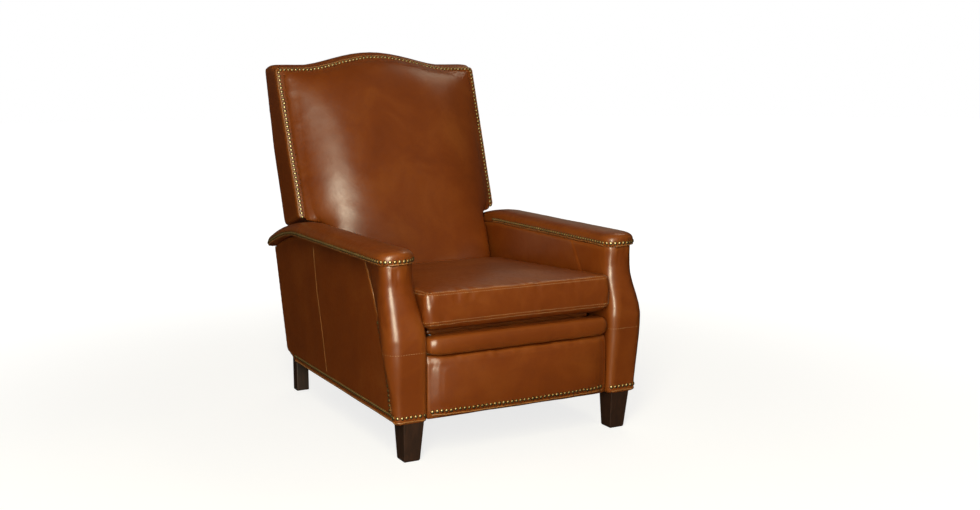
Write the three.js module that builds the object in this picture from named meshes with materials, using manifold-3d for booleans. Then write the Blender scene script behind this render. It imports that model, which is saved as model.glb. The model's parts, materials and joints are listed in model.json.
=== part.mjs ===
// A push-back recliner in leather: camel-topped back, padded arms with round fronts, boxed seat
// cushion, and a front panel that folds out on two link sets to become the footrest.
// Lengths are millimetres and angles degrees. +Z is up and the sitter faces -Y. Left and right are
// as seen from the front. Places along Y are counted from a datum plane across the seat; "ahead"
// means towards -Y. At the end the whole chair is centred over the middle of its own footprint.
import * as THREE from "three";
import { mergeVertices } from "three/addons/utils/BufferGeometryUtils.js";
import Module from "manifold-3d";

// Clearances
const seatedGap = 0.3; // between two pieces that rest on each other
const runningGap = 0.4; // between a sliding piece and its guide
const overrun = 5; // how far a cutting body reaches past what it cuts

// Base: two upholstered sides on legs
const baseUnderside = 114; // above the floor
const outerPanelThickness = 12;
const sideRearFootY = 397; // where the raked rear edge of the sides starts
const sideRearFootRise = 20; // how far that point lies above the underside
const sideChamferLength = 75; // the underside rises over this length at the rear
const sideRearTopY = 494; // where the raked rear edge meets the arm cap

// Arms
const armInnerHalfWidth = 286; // inner face of the arms, from the centre plane
const armWidth = 87; // from the inner arm's face to the side panel's face
const sideHalfWidth = armInnerHalfWidth + armWidth;
const innerArmThickness = 35;
const innerArmUnderside = 316;
const innerArmRearY = 300;
const armCapUnderside = 532;
const armCapWidth = 110;
const armCapOverhang = 30; // how far the cap stands out over the side panel
const armCapFrontY = 485; // ahead of the datum
const armCapRearY = 492;
const armCapRim = 17; // upright edge that carries the nail row
const armCapCrown = 22; // from the rim to the top of the padding
const armCapRearCorner = 32; // its rear corners are rounded in plan
const armDipStartY = 185; // from here to the rear the arm sweeps down
const armDipDepth = 70;

// Front posts: a padded column, slim under the cap, full at the belly, square at the foot
const postFootFrontY = 505;
const postBellyFrontY = 519;
const postNeckFrontY = 478;
const postFootOut = 5; // beyond the side panel's face
const postBellyOut = 23;
const postNeckOut = 15;
const postBellyHeight = 330;
const postNeckHeight = 480;
const postNeckInset = 8; // inner face under the cap, beyond the arm's inner face
const postFootCorner = 22;
const postBellyCorner = 40;
const postNeckCorner = 52;
const postTrimFootY = 463; // the side seam starts here at the underside
const postTrimSweep = 150; // how far the seam sweeps back
const postTrimSweepHeight = 388; // over this height

// Legs
const frontLegInset = 47; // its middle, inside the side panel's face
const frontLegTopWidth = 60;
const frontLegTopDepth = 66;
const frontLegFootWidth = 47;
const frontLegFootDepth = 48;
const frontLegTopFrontY = 503;
const frontLegFootFrontY = 487;
const rearLegInset = 38;
const rearLegWidth = 40;
const rearLegDepth = 38;
const rearLegRearY = 394;
const legFootChamfer = 3;

// Cross members of the base
const crossRailThickness = 25;
const crossRailHeight = 45;
const frontCrossRailY = 300; // ahead of the datum, its front face
const rearApronTop = 236;
const rearApronThickness = 18;

// Steel mechanism rails and glides
const steelThickness = 3.2;
const platePitch = 4; // from one link plane to the next
const mechanismInset = 5.2; // outer face of the upright plate, inside the arm's inner face
const mechanismRailFloor = 224;
const mechanismPlateTop = 314;
const mechanismLipTop = 290;
const mechanismRailFrontY = 405; // the channel part ends here, ahead of the datum
const mechanismRailRearY = 342;
const mechanismTubeRadius = 11;
const mechanismTubeY = 235; // ahead of the datum
const mechanismTubeHeight = 239;
const glideFrontY = 290; // ahead of the datum
const glideRearY = 60;
const glideWidth = 19;
const glideHeight = 34;
const glideWall = 2.5;
const glideDrop = 72; // channel centre below the cushion's lower seam

// Seat
const seatPitch = 3; // the seat falls towards the rear
const cushionFrontY = 509; // ahead of the datum, at the lower seam
const cushionSeamHeight = 371; // lower seam at the front
const cushionSideClearance = 3;
const cushionToPad = 13; // the lower seam stays this far ahead of the back pad
const cushionRearLean = 0.34; // the rear face leans with the back, per unit of height
const cushionBoxing = 82; // between the two seams
const cushionCrown = 18;
const cushionUnderCrown = 22;
const cushionCorner = 20;
const cushionSideBulge = 5;
const cushionSideDraw = 3; // the seams draw in between the corners
const cushionRearHollow = 8; // the rear follows the crown of the back
const deckThickness = 18;
const deckFrontSetback = 72; // behind the cushion's front
const deckRearSetback = 33; // ahead of the cushion's rear
const seatRailThickness = 22;
const seatRailHeight = 56;
const seatFrameClearance = 2.6; // inside the glide channels
const springWire = 4;
const springCount = 4;
const springWaves = 8;
const springWidth = 50;

// Footrest: board, main pad and roll, upright under the seat when folded
const footrestSideClearance = 3.5;
const footrestBoardThickness = 15;
const footrestBoardRearY = 455; // ahead of the datum
const footrestBoardMargin = 9; // the pads reach past the board's edge
const footrestPadTop = 284; // seam between the pad and the roll
const footrestPadEdge = 23; // pad thickness at its edge
const footrestPadCrown = 20;
const footrestRollTop = 337;
const footrestRollDepth = 46; // in front of the board
const footrestRollCorner = 16;

// Footrest links, in the side view: two parallel cranks swing a quarter turn from the plate
const crankLength = 169;
const crankRestAngle = -110.3; // from straight ahead, up positive
const crankPivotAhead = 392; // rear fixed pivot, ahead of the datum
const crankPivotHeight = 298;
const idlerOffset = 30; // front fixed pivot ahead of the rear one
const carrierRun = 106; // along Y, from the crank's end to the footrest hinge
const carrierRise = 135.5;
const controlOffsetAhead = -6; // from the carrier's pivots to the control link's
const controlOffsetUp = 33;
const linkHalfWidth = 10;
const rivetRadius = 4.5;
const rivetHeadRadius = 7;
const rivetHeadHeight = 2;

// Back: a raked upholstered box that turns on two plates between the arms
const backRake = 19.8; // from upright
const backDatumY = 305; // a point of the front plane, at the height where the wings end
const backWingAboveArm = 40; // the wings end this far above the arm caps' underside
const backDatumHeight = armCapUnderside + backWingAboveArm;
const backOverArms = 62; // the wings' foot reaches this far out over the arms
const backFlare = 10; // and their top this much further
const backHalfWidth = armInnerHalfWidth + backOverArms;
const backShoulder = 506; // up the rake from the datum to the top edge at the shoulders
const backCrest = 43; // the camel top above the shoulders
const backCrestHalfWidth = 240;
const backTopRearY = 593;
const backRearLength = 474; // height of the rear face at the shoulders, above the datum
const backTopRearHeight = backDatumHeight + backRearLength;
const backMiddleRearY = 541; // the rear face is steeper above this place
const backMiddleRise = 213; // which lies this far above the datum
const backMiddleRearHeight = backDatumHeight + backMiddleRise;
const backLowRearY = 474; // rear face at the height where the wings end
const backWingLip = 3; // the wing ends this far above the datum
const backWingRearDrop = 40; // the wing's lower edge falls this much to the rear
const backEdgeRound = 13;
const backFrameThickness = 20;
const backFrameInset = 3; // behind the leather's front and rear planes
const backFrameFoot = 286; // above the floor
const backFrameHeadroom = 66; // under the shoulder
const backRailThickness = 25;
const backRailHeight = 60;
const backWebWidth = 50;
const backWebThickness = 3;
const backPadBorder = 14; // flat edge that carries the nail row
const backPadThickness = 98;
const backPadTopThickness = 64;
const backPadFootClearance = 3; // the pad's foot lies this far above the back's pivot
const backPadSideClearance = 4; // between the arms
const backCoverThickness = 10;
const backCoverCrown = 8;
const backCoverFoot = 322; // above the floor
const backCoverMargin = 7;
const backCoverSideClearance = 5.6; // inside the back's side frames
const reclinePivotY = 318;
const reclinePivotHeight = 305;
const reclinePinRadius = 7;

// Colours and finishes
const finish = (color, roughness, metalness) =>
  new THREE.MeshStandardMaterial({ color, roughness, metalness });
const leather = finish("#8a4516", 0.42, 0);
const shadedLeather = finish("#6a3210", 0.45, 0);
const espressoWood = finish("#2a1710", 0.4, 0);
const plainWood = finish("#b48a5a", 0.7, 0);
const plywood = finish("#c7a271", 0.75, 0);
const zincSteel = finish("#8b8d90", 0.35, 1);
const blackSteel = finish("#2b2c2e", 0.45, 1);
const foam = finish("#d9d2bd", 0.9, 0);
const webbing = finish("#4b443c", 0.9, 0);

const radians = THREE.MathUtils.degToRad;
const point = (x, y, z) => new THREE.Vector3(x, y, z);
const { lerp, smoothstep } = THREE.MathUtils;

// Lengths that follow from those above
const outerPanelInnerX = sideHalfWidth - outerPanelThickness;
const sideFrameOuterX = outerPanelInnerX - seatedGap;
const innerArmOuterX = armInnerHalfWidth + innerArmThickness;
const sideFrameInnerX = innerArmOuterX + seatedGap;
const frontLegMiddleX = sideHalfWidth - frontLegInset;
const rearLegMiddleX = sideHalfWidth - rearLegInset;
const cushionHalfWidth = armInnerHalfWidth - cushionSideClearance;
const footrestHalfWidth = armInnerHalfWidth - footrestSideClearance;
const backPadLowHalfWidth = armInnerHalfWidth - backPadSideClearance;
const mechanismHalfWidth = armInnerHalfWidth - mechanismInset;
const plateInnerX = mechanismHalfWidth - steelThickness;
const seatFrameHalfWidth = plateInnerX - glideWidth - seatFrameClearance;
// The link planes, counted inwards from the plate
const [idlerPlane, carrierPlane, crankPlane, controlPlane] = [0.2, 1.2, 2.2, 3.2];
const planeX = (plane) => plateInnerX - plane * platePitch; // outer face
const innerFace = (plane) => planeX(plane) - steelThickness;
const backWingInnerX = innerFace(idlerPlane);
const backCoverLowHalfWidth = backWingInnerX - backCoverSideClearance;
const rake = radians(backRake);
const padFrontAtSeam =
  backDatumY - (backDatumHeight - cushionSeamHeight) * Math.tan(rake) - backPadThickness / Math.cos(rake);
const cushionDepth = cushionFrontY + padFrontAtSeam - cushionToPad; // at the lower seam
const deckDepth = cushionDepth - deckFrontSetback - deckRearSetback;
const backPadFoot = (backDatumHeight - reclinePivotHeight - backPadFootClearance) / Math.cos(rake);

const wasm = await Module();
wasm.setup();

// Shape helpers

function signedVolume(geometry) {
  const at = geometry.attributes.position;
  const corner = [0, 1, 2].map(() => new THREE.Vector3());
  let six = 0;
  for (let i = 0; i < geometry.index.count; i += 3) {
    corner.forEach((c, k) => c.fromBufferAttribute(at, geometry.index.getX(i + k)));
    six += corner[0].dot(corner[1].cross(corner[2]));
  }
  return six;
}

// Welds a geometry's vertices and turns its faces outwards.
function closed(geometry) {
  const bare = geometry.clone();
  bare.deleteAttribute("uv");
  bare.deleteAttribute("normal");
  const welded = mergeVertices(bare, seatedGap / 100);
  if (signedVolume(welded) < 0) {
    const order = Array.from(welded.index.array);
    for (let i = 0; i < order.length; i += 3) [order[i], order[i + 1]] = [order[i + 1], order[i]];
    welded.setIndex(order);
  }
  welded.computeVertexNormals();
  return welded;
}

const mirrored = (geometry) => closed(geometry.clone().scale(-1, 1, 1));

function solidOf(geometry) {
  const g = closed(geometry);
  const vertProperties = new Float32Array(g.attributes.position.array);
  const triVerts = new Uint32Array(g.index.array);
  return new wasm.Manifold(new wasm.Mesh({ numProp: 3, vertProperties, triVerts }));
}

function geometryOf(solid) {
  const mesh = solid.getMesh();
  const geometry = new THREE.BufferGeometry();
  geometry.setAttribute("position", new THREE.BufferAttribute(new Float32Array(mesh.vertProperties), 3));
  geometry.setIndex(Array.from(mesh.triVerts));
  return geometry;
}

const cut = (body, ...tools) => geometryOf(tools.reduce((s, t) => s.subtract(solidOf(t)), solidOf(body)));
const join = (body, ...more) => geometryOf(more.reduce((s, t) => s.add(solidOf(t)), solidOf(body)));

// Triangles that close one ring of points, wound like the ring. The ring is bowed outwards a little
// while it is divided up, so that points along a straight edge are kept too.
function capOf(ring) {
  const bow = 1e-7;
  const box = new THREE.Box3().setFromPoints(ring);
  const size = box.getSize(point(0, 0, 0));
  const middle = box.getCenter(point(0, 0, 0));
  const flat = ["x", "y", "z"].sort((a, b) => size[b] - size[a]).slice(0, 2);
  const bowed = ring.map((p) => {
    const place = new THREE.Vector2(p[flat[0]] - middle[flat[0]], p[flat[1]] - middle[flat[1]]);
    return place.multiplyScalar(1 - bow * place.lengthSq());
  });
  const area = THREE.ShapeUtils.area(bowed);
  return THREE.ShapeUtils.triangulateShape(bowed, []).map(([a, b, c]) => {
    const turn = THREE.ShapeUtils.area([bowed[a], bowed[b], bowed[c]]);
    return turn * area < 0 ? [a, c, b] : [a, b, c];
  });
}

// Triangles that close a ring whose second half runs back beside its first half.
function stripOf(ring) {
  const last = ring.length - 1;
  const pairs = [];
  for (let i = 0; i < last - i - 1; i++) pairs.push([i, i + 1, last - i - 1], [i, last - i - 1, last - i]);
  return pairs;
}

// A closed body through rings of equally many points.
function loft(rings, endsOf = capOf) {
  const count = rings[0].length;
  const index = [];
  for (let r = 0; r + 1 < rings.length; r++) {
    for (let i = 0; i < count; i++) {
      const a = r * count + i;
      const b = r * count + ((i + 1) % count);
      index.push(a, b, b + count, a, b + count, a + count);
    }
  }
  const last = (rings.length - 1) * count;
  endsOf(rings[0]).forEach(([a, b, c]) => index.push(a, c, b));
  endsOf(rings.at(-1)).forEach(([a, b, c]) => index.push(last + a, last + b, last + c));
  const geometry = new THREE.BufferGeometry();
  const places = rings.flat().flatMap((p) => [p.x, p.y, p.z]);
  geometry.setAttribute("position", new THREE.Float32BufferAttribute(places, 3));
  geometry.setIndex(index);
  return closed(geometry);
}

// Extrudes an outline from one place to another along the axis that the given function sets.
function prism(shape, from, to, place) {
  const arcSteps = 5;
  const apart = seatedGap / 10;
  const pairs = shape.getPoints(arcSteps).filter((p, i, all) => p.distanceTo(all.at(i - 1)) > apart);
  return loft([from, to].map((depth) => pairs.map((p) => place(p.x, p.y, depth))));
}

// An outline drawn in the side view (first axis Y, second Z), solid from x0 to x1.
const sidePrism = (shape, x0, x1) => prism(shape, x0, x1, (a, b, x) => point(x, a, b));

// An outline drawn in the front view (first axis X, second Z), solid from y0 back to y1.
const frontPrism = (shape, y0, y1) => prism(shape, y0, y1, (a, b, y) => point(a, y, b));

const outline = (pairs) => new THREE.Shape(pairs.map(([a, b]) => new THREE.Vector2(a, b)));

function block(x0, x1, y0, y1, z0, z1) {
  const body = new THREE.BoxGeometry(x1 - x0, y1 - y0, z1 - z0);
  return closed(body.translate((x0 + x1) / 2, (y0 + y1) / 2, (z0 + z1) / 2));
}

// A round bar along X.
function crossBar(x0, x1, y, z, radius, sides = 16) {
  const bar = new THREE.CylinderGeometry(radius, radius, x1 - x0, sides);
  return closed(bar.rotateZ(Math.PI / 2).translate((x0 + x1) / 2, y, z));
}

const steps = (count) => Array.from({ length: count + 1 }, (_, i) => i / count);

const chair = new THREE.Group();

function add(name, geometry, material, parent = chair) {
  const mesh = new THREE.Mesh(geometry, material);
  mesh.name = name;
  parent.add(mesh);
  return mesh;
}

// The geometry is made for the right side, and the left one is its mirror image.
function addPair(name, geometry, material, parent = chair) {
  add(`right_${name}`, geometry, material, parent);
  add(`left_${name}`, mirrored(geometry), material, parent);
}

// Arms and sides

// How far the arm has dropped at a place along Y: short straight lengths that every piece shares.
const armDipLengths = 7;
function armDip(y) {
  const dipPowerShare = 1.75;
  const share = Math.max(0, (y - armDipStartY) / (armCapRearY - armDipStartY)) * armDipLengths;
  const dipAt = (length) => armDipDepth * Math.pow(length / armDipLengths, dipPowerShare);
  const length = Math.floor(share);
  return lerp(dipAt(length), dipAt(length + 1), share - length);
}

// The seam between front post and side, at a height.
function trimY(z) {
  const sweepPowerShare = 1.66;
  const share = Math.max(0, (z - baseUnderside) / postTrimSweepHeight);
  return -postTrimFootY + postTrimSweep * Math.pow(share, sweepPowerShare);
}

// Side outline between the post's seam and the raked rear edge, drawn in by a margin.
function sideOutline(margin, underside) {
  const seamSteps = 10;
  const armSteps = 8;
  const top = armCapUnderside - seatedGap;
  const shape = [];
  for (const t of steps(seamSteps)) {
    const z = lerp(underside, top, t);
    shape.push([trimY(z) + seatedGap, z]);
  }
  for (const t of steps(armSteps)) {
    const y = lerp(armDipStartY, sideRearTopY - margin, t);
    shape.push([y, top - armDip(y)]);
  }
  const rearFoot = Math.max(underside, baseUnderside + sideRearFootRise);
  shape.push([sideRearFootY - margin, rearFoot]);
  shape.push([sideRearFootY - sideChamferLength, underside]);
  return outline(shape);
}

addPair("outer_panel", sidePrism(sideOutline(0, baseUnderside), outerPanelInnerX, sideHalfWidth), leather);

const frameMargin = 5;
const sideFrameShape = sideOutline(frameMargin, baseUnderside);
addPair("side_frame", sidePrism(sideFrameShape, sideFrameInnerX, sideFrameOuterX), plainWood);

// Inner arm: a padded panel from the post's seam to where the back hides it.
function innerArm() {
  const top = armCapUnderside - seatedGap;
  const seamSteps = 6;
  const capSteps = 4;
  const shape = [];
  for (const t of steps(seamSteps)) {
    const z = lerp(innerArmUnderside, top, t);
    shape.push([trimY(z) + seatedGap, z]);
  }
  for (const t of steps(capSteps)) {
    const y = lerp(armDipStartY, innerArmRearY, t);
    shape.push([y, top - armDip(y)]);
  }
  shape.push([innerArmRearY, innerArmUnderside]);
  return sidePrism(outline(shape), armInnerHalfWidth, innerArmOuterX);
}
addPair("inner_arm", innerArm(), shadedLeather);

// Front post: plan sections blended between foot, belly and neck.
function postSection(z) {
  const top = armCapUnderside - seatedGap;
  const ofStations = (foot, belly, neck) =>
    z < postBellyHeight
      ? lerp(foot, belly, smoothstep(z, baseUnderside, postBellyHeight))
      : lerp(belly, neck, smoothstep(z, postBellyHeight, postNeckHeight));
  const front = -ofStations(postFootFrontY, postBellyFrontY, postNeckFrontY);
  const outer = sideHalfWidth + ofStations(postFootOut, postBellyOut, postNeckOut);
  const inner = armInnerHalfWidth + lerp(0, postNeckInset, smoothstep(z, postBellyHeight, top));
  const middleShare = 0.5;
  const widest = (outer - inner) * middleShare;
  const outerRound = Math.min(ofStations(postFootCorner, postBellyCorner, postNeckCorner), widest);
  const innerRoundShare = lerp(0.55, 1, smoothstep(z, postBellyHeight, postNeckHeight));
  const innerRound = outerRound * innerRoundShare;
  const rear = trimY(z);
  const ring = [point(inner, rear, z), point(sideHalfWidth, rear, z)];
  const sideSteps = 4;
  for (const t of steps(sideSteps).slice(1, -1)) {
    const y = lerp(rear, front + outerRound, t);
    ring.push(point(lerp(sideHalfWidth, outer, Math.sin((t * Math.PI) / 2)), y, z));
  }
  const cornerSteps = 6;
  for (const t of steps(cornerSteps)) {
    const a = (t * Math.PI) / 2;
    const x = outer - outerRound + outerRound * Math.cos(a);
    ring.push(point(x, front + outerRound - outerRound * Math.sin(a), z));
  }
  for (const t of steps(cornerSteps)) {
    const a = (t * Math.PI) / 2;
    const x = inner + innerRound - innerRound * Math.sin(a);
    ring.push(point(x, front + innerRound - innerRound * Math.cos(a), z));
  }
  return ring;
}

function frontPost() {
  const levels = 15;
  const top = armCapUnderside - seatedGap;
  return loft(steps(levels).map((t) => postSection(lerp(baseUnderside, top, t))));
}
addPair("front_post", frontPost(), leather);

// Arm cap: a padded board with an upright rim, a crowned top and a half-round front.
function armCap() {
  const halfWidth = armCapWidth / 2;
  const middleX = sideHalfWidth + armCapOverhang - halfWidth;
  const noseCentreY = -armCapFrontY + halfWidth;
  const archSteps = 12;
  const crownPowerShare = 2.4;
  const ringAt = (y, width, crown) => {
    const base = armCapUnderside - armDip(y);
    const ring = [point(middleX - width, y, base), point(middleX + width, y, base)];
    for (const t of steps(archSteps)) {
      const across = Math.cos(t * Math.PI);
      const rise = Math.sqrt(1 - Math.pow(Math.abs(across), crownPowerShare));
      ring.push(point(middleX + width * across, y, base + armCapRim + crown * rise));
    }
    return ring;
  };
  const noseSteps = 8;
  const lastNoseShare = 0.93;
  const nose = steps(noseSteps).map((t) => {
    const a = (1 - t) * lastNoseShare * (Math.PI / 2);
    const crown = armCapCrown * Math.sqrt(Math.cos(a));
    return ringAt(noseCentreY - halfWidth * Math.sin(a), halfWidth * Math.cos(a), crown);
  });
  const rearCrownShare = 0.5; // lower there, so that the reclining back clears it
  const rearCrownPowerShare = 10;
  const rearRing = (y, drawnIn) => {
    const share = (y - armDipStartY) / (armCapRearY - armDipStartY);
    const crown = armCapCrown * lerp(1, rearCrownShare, Math.pow(share, rearCrownPowerShare));
    return ringAt(y, halfWidth - drawnIn, crown);
  };
  const cornerStart = armCapRearY - armCapRearCorner;
  const straightEnds = steps(armDipLengths).map((t) => lerp(armDipStartY, armCapRearY, t));
  const straight = straightEnds.filter((y) => y < cornerStart).map((y) => rearRing(y, 0));
  const cornerSteps = 4;
  const lastCornerShare = 0.9;
  const corner = steps(cornerSteps).map((t) => {
    const a = (t * lastCornerShare * Math.PI) / 2;
    const drawnIn = armCapRearCorner * (1 - Math.cos(a));
    return rearRing(cornerStart + armCapRearCorner * Math.sin(a), drawnIn);
  });
  return loft([...nose, ...straight, ...corner]);
}
addPair("arm_cap", armCap(), leather);

// Legs

function frontLeg() {
  const topZ = baseUnderside - seatedGap;
  const ring = (width, depth, frontY, z) => {
    const x0 = frontLegMiddleX - width / 2;
    const x1 = frontLegMiddleX + width / 2;
    return [
      point(x0, -frontY, z),
      point(x1, -frontY, z),
      point(x1, -frontY + depth, z),
      point(x0, -frontY + depth, z),
    ];
  };
  const worn = legFootChamfer;
  const wornFrontY = frontLegFootFrontY - worn;
  const foot = ring(frontLegFootWidth - 2 * worn, frontLegFootDepth - 2 * worn, wornFrontY, 0);
  const ankle = ring(frontLegFootWidth, frontLegFootDepth, frontLegFootFrontY, worn);
  const top = ring(frontLegTopWidth, frontLegTopDepth, frontLegTopFrontY, topZ);
  return loft([foot, ankle, top]);
}
addPair("front_leg", frontLeg(), espressoWood);

function rearLeg() {
  const chamferStart = sideRearFootY - sideChamferLength;
  const chamferSlope = sideRearFootRise / (sideChamferLength - frameMargin);
  const topAt = (y) => baseUnderside + (y - chamferStart) * chamferSlope - seatedGap;
  const front = rearLegRearY - rearLegDepth;
  const shape = outline([
    [front, legFootChamfer],
    [front + legFootChamfer, 0],
    [rearLegRearY - legFootChamfer, 0],
    [rearLegRearY, legFootChamfer],
    [rearLegRearY, Math.min(topAt(rearLegRearY), baseUnderside + sideRearFootRise - seatedGap)],
    [front, topAt(front)],
  ]);
  return sidePrism(shape, rearLegMiddleX - rearLegWidth / 2, rearLegMiddleX + rearLegWidth / 2);
}
addPair("rear_leg", rearLeg(), espressoWood);

// Cross members

const crossHalfSpan = sideFrameInnerX - seatedGap;
const crossRailFloor = baseUnderside + frameMargin;
add(
  "front_cross_rail",
  block(
    -crossHalfSpan,
    crossHalfSpan,
    -frontCrossRailY,
    -frontCrossRailY + crossRailThickness,
    crossRailFloor,
    crossRailFloor + crossRailHeight,
  ),
  plainWood,
);

// The rear apron leans with the raked rear edge of the sides.
function rearApron() {
  const low = baseUnderside + sideRearFootRise;
  const sideTop = armCapUnderside - armDip(sideRearTopY);
  const slope = (sideRearTopY - sideRearFootY) / (sideTop - low);
  const topY = sideRearFootY + (rearApronTop - low) * slope;
  const shape = outline([
    [sideRearFootY - rearApronThickness, low],
    [sideRearFootY, low],
    [topY, rearApronTop],
    [topY - rearApronThickness, rearApronTop],
  ]);
  return sidePrism(shape, -crossHalfSpan, crossHalfSpan);
}
add("rear_apron", rearApron(), shadedLeather);

// Steel mechanism rails: a channel bolted inside each side frame, with the pivot pins on its plate

const crankPivot = { y: -crankPivotAhead, z: crankPivotHeight };
const idlerPivot = { y: -crankPivotAhead - idlerOffset, z: crankPivotHeight };

// A riveted pin: it starts in one plate, passes the next, and ends in a low head.
function rivet(place, fromX, toX) {
  const inward = Math.sign(toX - fromX);
  const shankEnd = toX + inward * (runningGap + steelThickness / 8);
  const headEnd = shankEnd + inward * rivetHeadHeight;
  const sides = 12;
  const span = (a, b, r) => crossBar(Math.min(a, b), Math.max(a, b), place.y, place.z, r, sides);
  return [span(fromX, shankEnd, rivetRadius), span(shankEnd - inward * seatedGap, headEnd, rivetHeadRadius)];
}

function mechanismRail() {
  const wall = steelThickness;
  const outerX = sideFrameInnerX - seatedGap;
  const eye = linkHalfWidth + wall;
  const plateShape = new THREE.Shape();
  plateShape.moveTo(mechanismRailRearY, mechanismRailFloor);
  plateShape.lineTo(mechanismRailRearY, reclinePivotHeight + eye);
  plateShape.lineTo(reclinePivotY - 2 * eye, reclinePivotHeight + eye);
  plateShape.lineTo(reclinePivotY - 3 * eye, mechanismPlateTop - eye);
  plateShape.lineTo(crankPivot.y + 3 * eye, mechanismPlateTop - eye);
  plateShape.lineTo(crankPivot.y + 2 * eye, mechanismPlateTop);
  plateShape.lineTo(idlerPivot.y - eye, mechanismPlateTop);
  plateShape.lineTo(idlerPivot.y - eye, crankPivotHeight - eye);
  plateShape.lineTo(-mechanismRailFrontY, mechanismRailFloor);
  const plate = sidePrism(plateShape, plateInnerX, mechanismHalfWidth);
  const floor = block(
    plateInnerX,
    outerX,
    -mechanismRailFrontY,
    mechanismRailRearY,
    mechanismRailFloor,
    mechanismRailFloor + wall,
  );
  const lip = block(
    outerX - wall,
    outerX,
    -mechanismRailFrontY,
    mechanismRailRearY,
    mechanismRailFloor,
    mechanismLipTop,
  );
  const crankPin = rivet(crankPivot, mechanismHalfWidth, planeX(crankPlane) - wall);
  const idlerPin = rivet(idlerPivot, mechanismHalfWidth, planeX(idlerPlane) - wall);
  const reclinePin = crossBar(
    planeX(idlerPlane) - wall,
    mechanismHalfWidth,
    reclinePivotY,
    reclinePivotHeight,
    reclinePinRadius,
  );
  return join(plate, floor, lip, ...crankPin, ...idlerPin, reclinePin);
}
addPair("mechanism_rail", mechanismRail(), zincSteel);

const tubeHalfSpan = plateInnerX - seatedGap;
add(
  "mechanism_cross_tube",
  crossBar(-tubeHalfSpan, tubeHalfSpan, -mechanismTubeY, mechanismTubeHeight, mechanismTubeRadius),
  zincSteel,
);

// Seat group: drawn flat with its origin at the middle of the cushion's lower front seam, then
// pitched. Inside it, "back" is the distance behind that seam and "up" is square to the seat.

const seat = new THREE.Group();
seat.position.set(0, -cushionFrontY, cushionSeamHeight);
seat.rotation.x = -radians(seatPitch);
chair.add(seat);

function seatCushion() {
  const corner = cushionCorner;
  const half = cushionHalfWidth;
  const cornerSteps = 4;
  const sideSteps = 4;
  const plan = [];
  const arc = (cx, cy, from) => {
    for (const t of steps(cornerSteps)) {
      const a = from + (t * Math.PI) / 2;
      plan.push([cx + corner * Math.cos(a), cy + corner * Math.sin(a)]);
    }
  };
  const along = (x0, y0, x1, y1, dx, dy) => {
    for (const t of steps(sideSteps).slice(1, -1)) {
      const bow = Math.sin(t * Math.PI);
      plan.push([lerp(x0, x1, t) + dx * bow, lerp(y0, y1, t) + dy * bow]);
    }
  };
  arc(half - corner, corner, -Math.PI / 2);
  along(half, corner, half, cushionDepth - corner, -cushionSideDraw, 0);
  arc(half - corner, cushionDepth - corner, 0);
  along(half - corner, cushionDepth, corner - half, cushionDepth, 0, -cushionRearHollow);
  arc(corner - half, cushionDepth - corner, Math.PI / 2);
  along(-half, cushionDepth - corner, -half, corner, cushionSideDraw, 0);
  arc(corner - half, corner, Math.PI);
  along(corner - half, 0, half - corner, 0, 0, cushionSideDraw);
  const middleY = cushionDepth / 2;
  const ring = (inset, up) => {
    const lean = 1 + (cushionRearLean * THREE.MathUtils.clamp(up, 0, cushionBoxing)) / cushionDepth;
    const drawn = (y) => middleY + (y - middleY) * (1 - inset / middleY);
    return plan.map(([x, y]) => point(x * (1 - inset / half), drawn(y) * lean, up));
  };
  const crownInsetShares = [0, 0.05, 0.16, 0.34, 0.58, 0.82];
  const crownRiseShares = [0, 0.3, 0.58, 0.82, 0.95, 1];
  const crownAt = (i) => cushionBoxing + cushionCrown * crownRiseShares[i];
  const crown = crownInsetShares.map((inset, i) => ring(half * inset, crownAt(i)));
  const underInsetShares = [0, 0.04, 0.11];
  const underDropShares = [0, 0.6, 1];
  const underAt = (i) => -cushionUnderCrown * underDropShares[i];
  const under = underInsetShares.map((inset, i) => ring(half * inset, underAt(i)));
  const middle = ring(-cushionSideBulge / 2, cushionBoxing / 2).map((p) => {
    const kept = THREE.MathUtils.clamp(p.x, -half, half);
    return point(kept, p.y, p.z);
  });
  return loft([...under.reverse(), middle, ...crown]);
}
add("seat_cushion", seatCushion(), leather, seat);

const deckTop = -cushionUnderCrown - seatedGap;
const deckUnderside = deckTop - deckThickness;
add(
  "seat_deck",
  block(
    -seatFrameHalfWidth,
    seatFrameHalfWidth,
    deckFrontSetback,
    deckFrontSetback + deckDepth,
    deckUnderside,
    deckTop,
  ),
  foam,
  seat,
);

const springCentre = deckUnderside - seatedGap - springWire / 2;
const seatRailTop = springCentre - springWire / 2 - seatedGap;
const seatRailFoot = seatRailTop - seatRailHeight;
const seatRailInnerX = seatFrameHalfWidth - seatRailThickness;
const frameFront = deckFrontSetback;
const frameRear = deckFrontSetback + deckDepth;
addPair(
  "seat_side_rail",
  block(seatRailInnerX, seatFrameHalfWidth, frameFront, frameRear, seatRailFoot, seatRailTop),
  plainWood,
  seat,
);
const seatCrossHalfSpan = seatRailInnerX - seatedGap;
[
  ["seat_front_rail", frameFront],
  ["seat_rear_rail", frameRear - seatRailThickness],
].forEach(([name, back]) => {
  const rail = block(
    -seatCrossHalfSpan,
    seatCrossHalfSpan,
    back,
    back + seatRailThickness,
    seatRailFoot,
    seatRailTop,
  );
  add(name, rail, plainWood, seat);
});

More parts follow.
